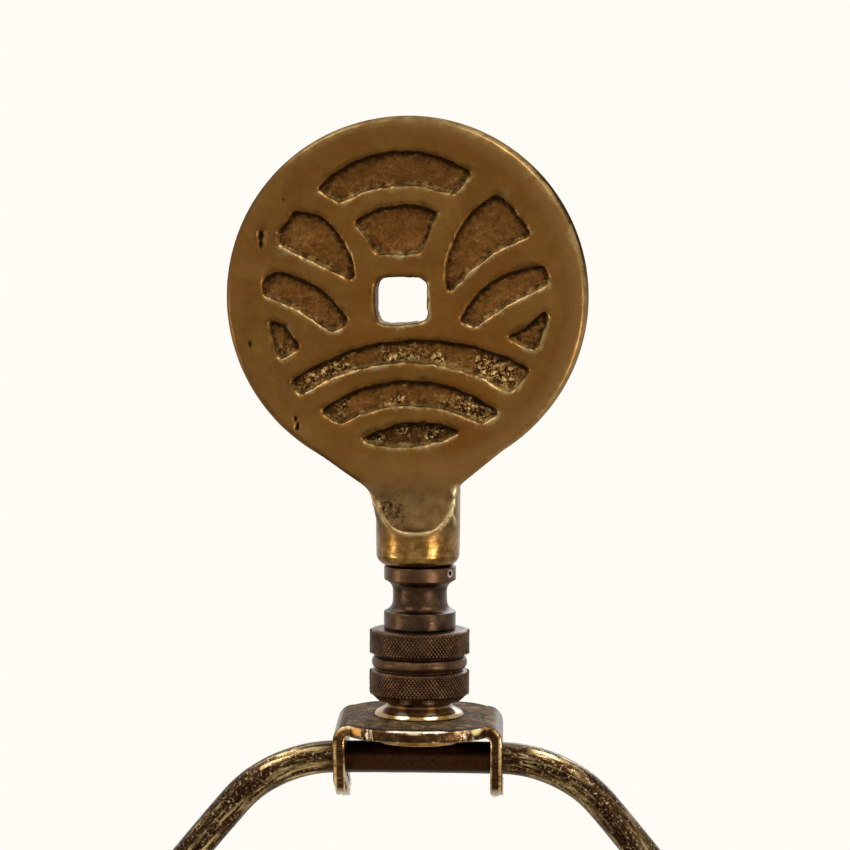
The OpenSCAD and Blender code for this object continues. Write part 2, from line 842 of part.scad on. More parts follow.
// One folded side of the bracket: the fold and its ear with a bore for the wire
module bracket_side() {
    translate([fold_x, fold_half_w, fold_z])
        rotate([90, 0, 0])
            linear_extrude(2 * fold_half_w)
                polygon(concat(
                    arc([0, 0], fold_r, 0, 90),
                    [[-EPS, fold_r], [-EPS, fold_r - plate_t]],
                    arc([0, 0], fold_r - plate_t, 90, 0)
                ));
    translate([ear_x, 0, wire_z])
        rotate([90, 0, 90])
            linear_extrude(plate_t)
                difference() {
                    ear_outline();
                    circle(r = wire_r + run_clear);
                    translate([-prong_gap, -ear_reach - 1])
                        square([2 * prong_gap, ear_reach + 1]);
                }
}

// The ear seen from its side, with the wire's centre at the origin
module ear_outline() {
    top = fold_z - wire_z;
    polygon(concat(
        [[fold_half_w, top], [-fold_half_w, top]],
        [[-fold_half_w, top - 1]],
        arc([-ear_tip_w + tip_round, tip_round - ear_reach], tip_round, 200, 270, 5),
        arc([ear_tip_w - tip_round, tip_round - ear_reach], tip_round, -90, -20, 5),
        [[fold_half_w, top - 1]]
    ));
}

// Stamped bracket: round plate with two folded, forked ears
module harp_bracket() {
    color("darkgoldenrod")
        difference() {
            union() {
                intersection() {
                    ring(plate_top_z - plate_t, plate_t, plate_r);
                    translate([-fold_x, -plate_r, plate_top_z - plate_t - 1])
                        cube([2 * fold_x, 2 * plate_r, plate_t + 2]);
                }
                bracket_side();
                mirror([1, 0, 0])
                    bracket_side();
            }
            ring(plate_top_z - plate_t - 1, plate_t + 2, shank_r + run_clear);
        }
}

// Riveted stud: rivet head, shank, flared shoulder and threaded pin
module bracket_stud() {
    rivet_top = plate_top_z - plate_t - rivet_bottom_z;
    color("goldenrod")
        turned(concat(
            [[0, rivet_bottom_z], [rivet_r - 0.9, rivet_bottom_z]],
            arc([rivet_r - 0.9, rivet_bottom_z + 0.9], 0.9, -90, 0, 5),
            [[rivet_r, rivet_bottom_z + rivet_top], [shank_r, rivet_bottom_z + rivet_top],
                [shank_r, plate_top_z], [shoulder_r, plate_top_z]],
            arc([shoulder_r, plate_top_z + shoulder_h], shoulder_r - ring_foot_r, 250, 180, 6),
            [[thread_r, riser_z], [thread_r, riser_z + pin_l], [0, riser_z + pin_l]]
        ), 0);
}

// Turned riser with two knurled rings, a bead, a tapped bore and a threaded pin
module riser() {
    low = ring_low_h;
    high = ring_low_h + bead_h;
    top = high + ring_high_h;
    groove_r = bead_r - 0.5;
    color("darkslategray")
        difference() {
            turned(concat(
                [[0, 0], [ring_foot_r, 0]],
                arc([ring_foot_r, ring_r - ring_foot_r], ring_r - ring_foot_r, -75, -30, 5),
                [[ring_r, ring_foot_h + 0.6], [ring_r, low - ring_chamfer],
                    [groove_r, low]],
                arc([bead_r - bead_h / 2, low + bead_h / 2], bead_h / 2, -65, 65, 8),
                [[groove_r, high], [ring_r, high + ring_chamfer],
                    [ring_r, top - 0.3], [ring_r - 0.3, top], [thread_r, top],
                    [thread_r, top + pin_l], [0, top + pin_l]]
            ), riser_z);
            translate([0, 0, riser_z - EPS])
                cylinder(r = thread_r + run_clear, h = pin_l + pin_gap);
        }
}

// Turned collar: band, cove and flange, tapped below, with a spigot above
module finial_collar() {
    cove_mid = (band_h + collar_h - flange_h) / 2;
    color("darkslategray")
        difference() {
            turned(concat(
                [[0, 0], [collar_r - 0.2, 0], [collar_r, 0.2], [collar_r, band_h]],
                curve([[collar_r - 0.3, band_h], [cove_r, band_h + 0.8],
                    [cove_r, cove_mid - 1], [cove_r, cove_mid]], 6),
                curve([[cove_r, cove_mid], [cove_r, cove_mid + 1],
                    [cove_r + 0.2, collar_h - flange_h - 0.4],
                    [collar_r - 0.3, collar_h - flange_h]], 6),
                [[collar_r, collar_h - flange_h], [collar_r, collar_h - 0.2],
                    [collar_r - 0.2, collar_h], [spigot_r, collar_h],
                    [spigot_r, collar_h + spigot_l], [0, collar_h + spigot_l]]
            ), riser_top_z);
            translate([0, 0, riser_top_z - EPS])
                cylinder(r = thread_r + run_clear, h = pin_l + pin_gap);
        }
}

// The recessed ornament for a disc of ornament_r about the origin: overlapping fans, cut as
// bands, wedges and lenses. Each recess lists its sides anticlockwise as [corner, bulge], and a
// bulge below 0 is outwards.
ornament_r = 26.6;

ORNAMENT = [
    // the top fan: wide band and keystone
    [[[-9.2, 14.3], 2], [[7.7, 14.8], 0], [[10.5, 17.9], -4.3], [[-12.5, 16.4], 0]],
    [[[-4.1, 6.6], 0], [[2.4, 6.4], 0], [[5.1, 12.4], -1.8], [[-7.2, 11.3], 0.2]],
    // the side fans: wedges, bands and corners
    [[[-18.4, 8.4], 0], [[-7.5, 2.6], -1.3], [[-12.1, 12.4], 0], [[-16, 13.4], 0], [[-18.4, 10.1], 0]],
    [[[6.2, 0.3], 1], [[18.8, 8.7], 0], [[16.3, 12.6], 0], [[13.9, 14.7], -2.6]],
    [[[-21, 1.2], 0.4], [[-11, -4.7], 0], [[-8.6, -3.3], -1.7], [[-19.3, 4.4], 0], [[-20.9, 3.3], 0]],
    [[[7.9, -3.7], 0], [[9.9, -4.7], 0.4], [[20.8, 1.2], 0], [[21.1, 2.2], 0], [[20.5, 4], -2.2]],
    [[[-19, -8.6], 0], [[-15.7, -6.7], 0.3], [[-17.9, -3.6], 0], [[-20.5, -2.6], 0]],
    [[[14.3, -6.2], 0], [[18.9, -8.4], 0], [[20.7, -3.6], 0], [[20.3, -2.4], 0.6]],
    // the bottom fan: two bands and a lens
    [[[-16.2, -13.9], 4.8], [[14.9, -14.5], 0], [[18, -11.1], -5.1], [[-17.5, -11.7], 0]],
    [[[-10.6, -18.3], 2.8], [[10.5, -18.9], 0], [[13.2, -17.4], -4.6], [[-13.3, -16.3], 0]],
    [[[-7.5, -20.7], -1.6], [[7.6, -19.9], -1.8]]
];

// One face's recesses, as deep as recess_d
module ornament() {
    k = disc_r / ornament_r;
    for (recess = ORNAMENT)
        linear_extrude(recess_d + 1)
            polygon(k * outline(recess));
}

// Square hole with rounded corners
module square_hole() {
    w = hole_w / 2 - hole_corner;
    h = hole_h / 2 - hole_corner;
    translate([hole_x, hole_y, 0])
        linear_extrude(disc_t + 2, center = true)
            polygon(concat(
                arc([w, h], hole_corner, 0, 90, 4),
                arc([-w, h], hole_corner, 90, 180, 4),
                arc([-w, -h], hole_corner, 180, 270, 4),
                arc([w, -h], hole_corner, 270, 360, 4)
            ));
}

// The disc with its centre at the origin and its front towards +z
module coin() {
    difference() {
        rotate_extrude($fn = 128)
            polygon(concat(
                [[0, -disc_t / 2]],
                arc([disc_r - disc_edge, disc_edge - disc_t / 2], disc_edge, -90, 0, 4),
                arc([disc_r - disc_edge, disc_t / 2 - disc_edge], disc_edge, 0, 90, 4),
                [[0, disc_t / 2]]
            ));
        for (side = [0, 180])
            rotate([0, side, 0])
                translate([0, 0, disc_t / 2 - recess_d])
                    ornament();
        square_hole();
    }
}

// The web between the neck and the disc, in the disc's plane: its sides leave the disc as
// tangents and end in a fillet at the neck
module neck_web() {
    right = concat(
        arc([fillet_x, fillet_z], neck_fillet, 180, 90 + web_angle, 6),
        [[web_x, web_z]]);
    left = [for (i = [len(right) - 1:-1:0]) [-right[i].x, right[i].y]];
    root = [boss_r - 9 * neck_step, fillet_z - 2];
    linear_extrude(disc_t - 2 * neck_step, center = true)
        polygon(concat(
            [[-root.x, boss_h + 2], [root.x, boss_h + 2], root],
            right,
            [[0, disc_rise - disc_r + 4]],
            left,
            [[-root.x, root.y]]
        ));
}

// Round boss with a rounded foot, its top edge bevelled into the neck
module boss() {
    turned(concat(
        [[0, 0]],
        arc([boss_r - boss_round, boss_round], boss_round, -90, 0, 5),
        [[boss_r, boss_h - 0.8], [boss_r - 1, boss_h + 0.2], [0, boss_h + 0.2]]
    ), 0);
}

// Round neck between boss and web, scalloped at front and back down to the web's thickness
module round_neck() {
    flat_y = disc_t / 2 - 2 * neck_step;
    scallop = curve([[boss_r, scallop_z], [boss_r - 1.3, scallop_z + 0.1],
        [flat_y + 1.2, scallop_z + 2], [flat_y, scallop_z + scallop_h]], 6);
    top = fillet_z + 1;
    side = concat(
        [[boss_r, boss_h / 2]],
        scallop,
        [[flat_y, scallop_z + scallop_h], [flat_y, top]]
    );
    intersection() {
        translate([0, 0, boss_h / 2])
            cylinder(r = boss_r - neck_step, h = top - boss_h / 2);
        rotate([90, 0, 90])
            linear_extrude(2 * boss_r, center = true)
                polygon(concat(
                    side,
                    [for (i = [len(side) - 1:-1:0]) [-side[i].x, side[i].y]]
                ));
    }
}

// The undrilled casting: boss, round neck, and the leaning disc on its web
module casting() {
    boss();
    rotate([0, -disc_lean, 0])
        rotate([90, 0, 0]) {
            translate([0, disc_rise, 0])
                coin();
            neck_web();
        }
    round_neck();
}

// Cast finial, turned a little on its collar, with the bore for the collar's spigot
module finial() {
    color("darkgoldenrod")
        translate([0, 0, collar_top_z])
            rotate([0, 0, -disc_turn])
                difference() {
                    translate([casting_x, 0, 0])
                        casting();
                    translate([0, 0, -EPS])
                        cylinder(r = spigot_r + run_clear, h = spigot_l + pin_gap);
                }
}

felt_pad();
base();
ballast();
lock_washer();
rod_nut();
cord_bushing();
threaded_rod();
vase();
vase_cap();
neck();
check_ring();
harp_saddle();
socket_cap();
cap_screw();
socket_body();
terminal_screws();
screw_shell();
centre_contact();
socket_liner();
socket_shell();
switch_shaft();
switch_knob();
harp_wire();
ferrule_left();
ferrule_right();
harp_bracket();
bracket_stud();
riser();
finial_collar();
finial();
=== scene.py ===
import math
import random

import bmesh
import bpy
import numpy as np
from mathutils import Matrix, Vector, noise


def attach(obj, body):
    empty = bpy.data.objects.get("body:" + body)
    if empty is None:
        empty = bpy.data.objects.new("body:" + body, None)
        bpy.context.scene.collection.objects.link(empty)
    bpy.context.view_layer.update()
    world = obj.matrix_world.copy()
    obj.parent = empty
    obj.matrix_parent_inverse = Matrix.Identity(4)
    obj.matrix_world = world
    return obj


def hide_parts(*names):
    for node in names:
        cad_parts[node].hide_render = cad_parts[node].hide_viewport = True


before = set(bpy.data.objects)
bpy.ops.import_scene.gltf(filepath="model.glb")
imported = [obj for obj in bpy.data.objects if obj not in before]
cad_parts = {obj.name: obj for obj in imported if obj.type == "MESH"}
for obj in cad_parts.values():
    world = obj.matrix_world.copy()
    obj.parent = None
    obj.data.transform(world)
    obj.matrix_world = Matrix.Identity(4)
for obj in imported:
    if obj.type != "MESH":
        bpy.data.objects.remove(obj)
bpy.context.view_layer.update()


# ---- Felt pad ----------------------------------------------------------------------------
# A disc of pressed wool felt with an open middle, glued under the wooden foot so that the
# lamp doesn't scratch the table. Felt has a soft nap, so its finish has sheen and no gloss.

def colour(code):
    """The linear colour that a shader takes, from a six-figure colour code."""
    parts = [int(code[i:i + 2], 16) / 255 for i in (1, 3, 5)]
    return [c / 12.92 if c <= 0.04045 else ((c + 0.055) / 1.055) ** 2.4 for c in parts] + [1]


def new_finish(name, **shader_values):
    """A material with its shader, and the place on the piece that its patterns follow."""
    finish = bpy.data.materials.new(name)
    finish.use_nodes = True
    tree = finish.node_tree
    shader = tree.nodes["Principled BSDF"]
    for socket, value in shader_values.items():
        shader.inputs[socket.replace("_", " ")].default_value = value
    place = tree.nodes.new("ShaderNodeTexCoord").outputs["Object"]
    return finish, tree, shader, place


def put(tree, kind, inputs, output=0, **settings):
    """Adds a node, fills its inputs with links or plain values, and gives its output."""
    added = tree.nodes.new(kind)
    for key, value in settings.items():
        setattr(added, key, value)
    for key, value in inputs.items():
        if isinstance(value, bpy.types.NodeSocket):
            tree.links.new(value, added.inputs[key])
        else:
            added.inputs[key].default_value = value
    return added.outputs[output]


def stretched(tree, place, scale):
    """The place, stretched so that a pattern on it is drawn out along one way."""
    return put(tree, "ShaderNodeMapping", {"Vector": place, "Scale": scale})


def cloud(tree, place, scale, detail=4, rough=0.55, twist=0):
    """Soft irregular patches, as many to the metre as the scale says."""
    return put(tree, "ShaderNodeTexNoise", {"Vector": place, "Scale": scale, "Detail": detail,
                                            "Roughness": rough, "Distortion": twist})


def between(tree, value, low, high, start=0.0, end=1.0):
    """The value, spread from start to end while it goes from low to high."""
    return put(tree, "ShaderNodeMapRange", {0: value, 1: low, 2: high, 3: start, 4: end})


def shades(tree, value, *steps):
    """Colours along a value: pairs of a position and a colour code."""
    ramp = tree.nodes.new("ShaderNodeValToRGB")
    tree.links.new(value, ramp.inputs[0])
    stops = ramp.color_ramp.elements
    while len(stops) < len(steps):
        stops.new(0.5)
    for stop, (position, code) in zip(stops, steps):
        stop.position = position
        stop.color = colour(code)
    return ramp.outputs[0]


def over(tree, amount, under, top, blend="MIX"):
    """One colour laid over another by an amount."""
    under = colour(under) if isinstance(under, str) else under
    top = colour(top) if isinstance(top, str) else top
    return put(tree, "ShaderNodeMix", {0: amount, 6: under, 7: top}, 2,
               data_type="RGBA", blend_type=blend)


def joined(tree, operation, a, b):
    """Two values put together by one sum."""
    return put(tree, "ShaderNodeMath", {0: a, 1: b}, operation=operation)


def relief(tree, shader, height, depth):
    """Fine relief of that depth in metres, over any relief that the shader has already."""
    under = shader.inputs["Normal"].links
    inputs = {"Height": height, "Distance": depth}
    if under:
        inputs["Normal"] = under[0].from_socket
    tree.links.new(put(tree, "ShaderNodeBump", inputs), shader.inputs["Normal"])


def lead(tree, value, shader, socket):
    """Leads a pattern to one of the shader's sockets."""
    tree.links.new(value, shader.inputs[socket])


def dress(node, finish):
    """Gives a node of the frame its finish."""
    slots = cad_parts[node].data.materials
    for i in range(len(slots)):
        slots[i] = finish


felt, tree, shader, place = new_finish("pressed_wool_felt", Roughness=0.95, Sheen_Weight=0.6,
                                       Sheen_Roughness=0.5)
nap = cloud(tree, place, 2600, 3, 0.7)
fibres = cloud(tree, stretched(tree, place, (1, 0.2, 1)), 3400, 4, 0.7, 1.5)
lead(tree, shades(tree, joined(tree, "MULTIPLY", nap, fibres),
                  (0.1, "#2c3a2a"), (0.3, "#425640"), (0.5, "#5d7057")), shader, "Base Color")
relief(tree, shader, fibres, 0.0004)
dress("felt_pad", felt)


# ---- Turned foot -------------------------------------------------------------------------
# One round of close-grained hardwood, turned to a rim, a hollow and a platform, then stained
# dark and rubbed with wax. It stands on the felt and carries the vase in a shallow seat.

wood, tree, shader, place = new_finish("stained_waxed_hardwood", Coat_Weight=0.35,
                                       Coat_Roughness=0.18)
along_grain = stretched(tree, place, (1, 7, 7))
figure = cloud(tree, along_grain, 9, 5, 0.6, 1.2)
pores = cloud(tree, stretched(tree, place, (1, 22, 22)), 130, 3, 0.6)
streaks = cloud(tree, stretched(tree, place, (1, 12, 12)), 40, 4, 0.6, 0.6)
tone = shades(tree, joined(tree, "ADD", joined(tree, "MULTIPLY", figure, 0.65),
                           joined(tree, "MULTIPLY", streaks, 0.35)),
              (0.34, "#2a150b"), (0.45, "#47260f"), (0.55, "#5d3316"), (0.68, "#6f4120"))
lead(tree, over(tree, between(tree, pores, 0.6, 0.72, 0, 0.75), tone, "#180c06"), shader,
     "Base Color")
lead(tree, between(tree, streaks, 0.3, 0.7, 0.34, 0.5), shader, "Roughness")
relief(tree, shader, pores, 0.00012)
dress("base", wood)


# ---- Weight, washer, nut and rod ---------------------------------------------------------
# A cast-iron weight lies in the well of the foot. A toothed steel washer and a hexagon nut
# clamp it, the foot, the vase and the brass above on one threaded steel pipe.

iron, tree, shader, place = new_finish("cast_iron", Metallic=1.0)
sand = cloud(tree, place, 900, 5, 0.7)
lead(tree, shades(tree, sand, (0.35, "#2b2a29"), (0.55, "#444240"), (0.7, "#5d5852")), shader,
     "Base Color")
lead(tree, between(tree, sand, 0.3, 0.7, 0.75, 0.5), shader, "Roughness")
relief(tree, shader, sand, 0.0005)
dress("ballast", iron)

steel, tree, shader, place = new_finish("plated_steel", Metallic=1.0)
spangle = cloud(tree, place, 420, 4, 0.6)
scratches = cloud(tree, stretched(tree, place, (1, 1, 30)), 160, 3, 0.6)
lead(tree, shades(tree, spangle, (0.3, "#8c8a84"), (0.5, "#a8a6a0"), (0.7, "#c0bdb5")), shader,
     "Base Color")
lead(tree, between(tree, scratches, 0.3, 0.7, 0.28, 0.46), shader, "Roughness")
relief(tree, shader, scratches, 0.00004)
for piece in ("lock_washer", "rod_nut", "threaded_rod"):
    dress(piece, steel)


# ---- Cord bushing ------------------------------------------------------------------------
# A moulded sleeve with a flange, pressed into the hole through the back of the foot. It is
# the lamp's cord inlet. Phenolic is dark and slightly mottled, with a moulded gloss.

phenolic, tree, shader, place = new_finish("moulded_phenolic", Coat_Weight=0.25,
                                           Coat_Roughness=0.1)
swirl = cloud(tree, place, 110, 5, 0.65, 2.5)
lead(tree, shades(tree, swirl, (0.35, "#190f0a"), (0.5, "#2b1910"), (0.66, "#432719")), shader,
     "Base Color")
lead(tree, between(tree, cloud(tree, place, 600, 3), 0.3, 0.7, 0.22, 0.36), shader, "Roughness")
relief(tree, shader, cloud(tree, place, 1500, 2), 0.00002)
for piece in ("cord_bushing", "socket_body", "switch_knob"):
    dress(piece, phenolic)


# ---- Vase --------------------------------------------------------------------------------
# A thrown stoneware vase with a full belly, under a pale green-grey glaze that has crazed
# into a fine net and lies thicker low on the belly. Its floor is drilled for the rod.

glaze, tree, shader, place = new_finish("crazed_celadon_glaze", Roughness=0.16,
                                        Coat_Weight=0.5, Coat_Roughness=0.05)
drift = cloud(tree, place, 14, 4, 0.5, 0.8)
mottle = cloud(tree, place, 260, 4, 0.6)
height = put(tree, "ShaderNodeSeparateXYZ", {0: place}, 2)
pooled = between(tree, joined(tree, "ADD", height, joined(tree, "MULTIPLY", drift, 0.09)),
                 0.08, 0.36, 1, 0)
body_tone = shades(tree, pooled, (0.0, "#c3c9b4"), (0.45, "#a9b79d"), (1.0, "#8ca18b"))
wobble = over(tree, 0.12, place, put(tree, "ShaderNodeTexNoise", {"Vector": place, "Scale": 60},
                                     "Color"))
crazing = put(tree, "ShaderNodeTexVoronoi", {"Vector": wobble, "Scale": 150},
              "Distance", feature="DISTANCE_TO_EDGE")
net = between(tree, crazing, 0.0, 0.035, 0.55, 0)
speckled = over(tree, between(tree, mottle, 0.62, 0.75, 0, 0.35), body_tone, "#77795f")
lead(tree, over(tree, net, speckled, "#6d5a3c"), shader, "Base Color")
relief(tree, shader, cloud(tree, place, 55, 2), 0.0004)
relief(tree, shader, crazing, 0.00003)
dress("vase", glaze)


# ---- Vase cap, neck and check ring -------------------------------------------------------
# A spun brass cap covers the vase's mouth. A turned neck and a check ring stand on it, all
# held by the rod. They have a brown patina with small dark spots.

fitting_brass, tree, shader, place = new_finish("antiqued_turned_brass", Metallic=1.0)
patina = cloud(tree, place, 75, 6, 0.62, 0.6)
rings = cloud(tree, stretched(tree, place, (1, 1, 60)), 22, 3, 0.6)
spots = cloud(tree, place, 950, 3, 0.6)
tone = shades(tree, patina, (0.3, "#5c431f"), (0.48, "#86652f"), (0.62, "#a58342"), (0.8, "#b99a56"))
lead(tree, over(tree, between(tree, spots, 0.62, 0.78, 0, 0.7), tone, "#3c2a15"), shader,
     "Base Color")
lead(tree, between(tree, joined(tree, "MULTIPLY", patina, rings), 0.1, 0.4, 0.24, 0.42), shader,
     "Roughness")
relief(tree, shader, rings, 0.00005)
for piece in ("vase_cap", "neck", "check_ring", "socket_cap", "socket_shell"):
    dress(piece, fitting_brass)


# ---- Harp saddle and ferrules ------------------------------------------------------------
# A bent brass strap under the socket, whose two round tips take the harp's feet, and two
# brass sleeves that slide down over each joint and keep the wire on its tip.

strap_brass, tree, shader, place = new_finish("tarnished_strap_brass", Metallic=1.0)
tarnish = cloud(tree, place, 120, 6, 0.65, 0.5)
rub = cloud(tree, stretched(tree, place, (1, 1, 9)), 210, 4, 0.6)
lead(tree, shades(tree, tarnish, (0.3, "#584018"), (0.5, "#8a682f"), (0.72, "#ab8a4b")), shader,
     "Base Color")
lead(tree, between(tree, rub, 0.3, 0.72, 0.26, 0.48), shader, "Roughness")
relief(tree, shader, rub, 0.00004)
for piece in ("harp_saddle", "ferrule_left", "ferrule_right"):
    dress(piece, strap_brass)


# ---- Socket ------------------------------------------------------------------------------
# A moulded body carries the screw shell, the centre contact and two terminal screws. A card
# liner keeps them from the spun brass shell, which clips into the cap below.

screw_brass, tree, shader, place = new_finish("bright_rolled_brass", Metallic=1.0)
haze = cloud(tree, place, 240, 5, 0.6)
lead(tree, shades(tree, haze, (0.3, "#a17a35"), (0.5, "#c29a4c"), (0.7, "#d4b268")), shader,
     "Base Color")
lead(tree, between(tree, haze, 0.3, 0.7, 0.34, 0.2), shader, "Roughness")
relief(tree, shader, cloud(tree, place, 1800, 2), 0.00002)
for piece in ("cap_screw", "terminal_screws", "screw_shell", "centre_contact", "switch_shaft"):
    dress(piece, screw_brass)

card, tree, shader, place = new_finish("varnished_card", Roughness=0.62)
pulp = cloud(tree, stretched(tree, place, (1, 1, 0.4)), 1400, 4, 0.7)
lead(tree, shades(tree, pulp, (0.3, "#8a6d49"), (0.5, "#a58760"), (0.7, "#b89b74")), shader,
     "Base Color")
relief(tree, shader, pulp, 0.00008)
dress("socket_liner", card)


# ---- Harp wire ---------------------------------------------------------------------------
# One steel wire bent into a loop: straight feet over the saddle's tips, long slanted sides,
# shoulders, and a flat top that the bracket is crimped to. Its brown lacquer has worn and
# chipped down to a brassy plating. The top has a slight crown from the bending.

WIRE_R = 0.00238
WIRE_TOP_Z = 0.59465
FOOT_X, FOOT_Z, FOOT_STRAIGHT = 0.030, 0.398, 0.021
FLARE, SHOULDER_SLOPE = math.radians(30), math.radians(40)
FOOT_BEND_R, TOP_BEND_R, SHOULDER_L = 0.026, 0.0194, 0.008
TOP_HALF = 0.0125
TOP_CROWN = 0.0003


def arc_points(centre, radius, start, end, count):
    """Points of an arc in the harp's plane, angles in radians."""
    return [centre + radius * Vector((math.cos(start + (end - start) * i / count),
                                      math.sin(start + (end - start) * i / count)))
            for i in range(count + 1)]


def harp_side():
    """The wire's line from its right foot up to the middle of the top."""
    both = 1 - math.cos(FLARE + SHOULDER_SLOPE)
    span_x = (TOP_HALF - FOOT_X - FOOT_BEND_R * (1 - math.cos(FLARE))
              + SHOULDER_L * math.sin(SHOULDER_SLOPE) + TOP_BEND_R * math.cos(SHOULDER_SLOPE))
    span_z = (WIRE_TOP_Z - FOOT_Z - FOOT_STRAIGHT - FOOT_BEND_R * math.sin(FLARE)
              - SHOULDER_L * math.cos(SHOULDER_SLOPE) - TOP_BEND_R * (1 - math.sin(SHOULDER_SLOPE)))
    slant = (span_x * (math.sin(FLARE) + math.sin(SHOULDER_SLOPE))
             - span_z * (math.cos(SHOULDER_SLOPE) - math.cos(FLARE))) / both
    side_r = (span_z * math.sin(FLARE) - span_x * math.cos(FLARE)) / both
    foot = Vector((FOOT_X, FOOT_Z))
    low = foot + Vector((FOOT_BEND_R, FOOT_STRAIGHT))
    line = [foot + Vector((0, FOOT_STRAIGHT * i / 12)) for i in range(12)]
    line += arc_points(low, FOOT_BEND_R, math.pi, math.pi - FLARE, 16)
    side = line[-1] + slant * Vector((math.sin(FLARE), math.cos(FLARE)))
    centre = side + side_r * Vector((-math.cos(FLARE), math.sin(FLARE)))
    line += [line[-1].lerp(side, i / 40) for i in range(1, 40)]
    line += arc_points(centre, side_r, -FLARE, SHOULDER_SLOPE, 40)
    shoulder = line[-1] + SHOULDER_L * Vector((-math.sin(SHOULDER_SLOPE), math.cos(SHOULDER_SLOPE)))
    line += [line[-1].lerp(shoulder, i / 6) for i in range(1, 6)]
    top = shoulder - TOP_BEND_R * Vector((math.cos(SHOULDER_SLOPE), math.sin(SHOULDER_SLOPE)))
    line += arc_points(top, TOP_BEND_R, SHOULDER_SLOPE, math.pi / 2, 24)
    line += [Vector((TOP_HALF * (1 - i / 10), WIRE_TOP_Z)) for i in range(1, 11)]
    return line


def swept_tube(name, line, radius, sides, wear=0.0):
    """A round tube along a line of points in the harp's plane, closed at both ends."""
    shape = bmesh.new()
    loops = []
    for i, point in enumerate(line):
        ahead = (line[min(i + 1, len(line) - 1)] - line[max(i - 1, 0)]).normalized()
        across = Vector((ahead.y, -ahead.x))
        loop = []
        for j in range(sides):
            turn = 2 * math.pi * j / sides
            spot = Vector((point.x + across.x * math.cos(turn) * radius, math.sin(turn) * radius,
                           point.y + across.y * math.cos(turn) * radius))
            dent = wear * noise.noise(spot * 420)
            loop.append(shape.verts.new(spot + dent * Vector((across.x * math.cos(turn),
                                                              math.sin(turn),
                                                              across.y * math.cos(turn)))))
        loops.append(loop)
    for a, b in zip(loops, loops[1:]):
        for j in range(sides):
            k = (j + 1) % sides
            shape.faces.new((a[j], a[k], b[k], b[j]))
    shape.faces.new(loops[0])
    shape.faces.new(list(reversed(loops[-1])))
    bmesh.ops.recalc_face_normals(shape, faces=shape.faces)
    tube = finished(name, shape)
    gone = [0.0]
    for before, after in zip(line, line[1:]):
        gone.append(gone[-1] + (after - before).length)
    drawn = tube.data.attributes.new("drawn", "FLOAT_VECTOR", "POINT")
    drawn.data.foreach_set("vector", [value for run in gone for j in range(sides) for value in (
        run, radius * math.cos(2 * math.pi * j / sides), radius * math.sin(2 * math.pi * j / sides))])
    return tube


def finished(name, shape):
    """Turns a worked shape into a smooth-shaded piece of the scene."""
    mesh = bpy.data.meshes.new(name)
    shape.to_mesh(mesh)
    shape.free()
    mesh.shade_smooth()
    piece = bpy.data.objects.new(name, mesh)
    bpy.context.scene.collection.objects.link(piece)
    return piece


def fit(piece, finish, body, slot, *stands_for):
    """Gives a piece its finish, the body it moves with and the nodes it stands for."""
    piece.data.materials.clear()
    piece.data.materials.append(finish)
    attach(piece, body)
    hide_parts(*stands_for)


right = harp_side()
left = [Vector((-p.x, p.y)) for p in reversed(right[:-1])]
crowned = [Vector((p.x, p.y + TOP_CROWN * (max(0, 1 - (p.x / 0.022) ** 2) - 0.5)
                   * min(1, max(0, p.y - WIRE_TOP_Z + 0.004) / 0.004))) for p in right + left]
harp_wire = swept_tube("worn_harp_wire", crowned, WIRE_R, 28, 0.00003)

worn_wire, tree, shader, place = new_finish("worn_brown_lacquered_wire", Metallic=1.0)
drawn = put(tree, "ShaderNodeAttribute", {}, "Vector", attribute_name="drawn")
streaks = cloud(tree, stretched(tree, drawn, (0.14, 1, 1)), 1300, 5, 0.7, 0.4)
long_rubs = cloud(tree, stretched(tree, drawn, (0.10, 1, 1)), 420, 4, 0.6, 0.4)
flecks = cloud(tree, place, 2400, 3, 0.65)
sideways = put(tree, "ShaderNodeSeparateXYZ", {0: place}, 0)
out = put(tree, "ShaderNodeMath", {0: sideways}, operation="ABSOLUTE")
handled = between(tree, out, 0.0118, 0.0150)
lacquer = over(tree, handled, shades(tree, flecks, (0.35, "#2a190d"), (0.7, "#3b2615")),
               shades(tree, flecks, (0.35, "#190e07"), (0.5, "#2b1a0f"), (0.62, "#4a3420"),
                      (0.72, "#7d6a4b")))
plating = shades(tree, streaks, (0.38, "#3a2a18"), (0.48, "#6d5836"), (0.56, "#a08a5c"),
                 (0.66, "#cdb98a"))
rubs = joined(tree, "ADD", joined(tree, "MULTIPLY", long_rubs, 0.55),
              joined(tree, "MULTIPLY", streaks, 0.45))
bared = joined(tree, "MULTIPLY", between(tree, rubs, 0.50, 0.60), joined(
    tree, "MULTIPLY", handled, between(tree, sideways, 0.0235, 0.0265, 1, 0.45)))
specks = joined(tree, "MULTIPLY", between(tree, flecks, 0.60, 0.68), handled)
tone = over(tree, bared, lacquer, plating)
lead(tree, over(tree, joined(tree, "MULTIPLY", specks, 0.6), tone, "#c9b78e"), shader,
     "Base Color")
lead(tree, between(tree, bared, 0, 1, 0.36, 0.24), shader, "Roughness")
relief(tree, shader, streaks, 0.00004)
fit(harp_wire, worn_wire, "harp", "wire", "harp_wire")


# ---- Bracket -----------------------------------------------------------------------------
# A stamped brass plate with an ear folded down at each side. Each ear is forked, goes over
# the wire and is crimped under it, so its tips are bruised. The bracket can tilt on the wire.

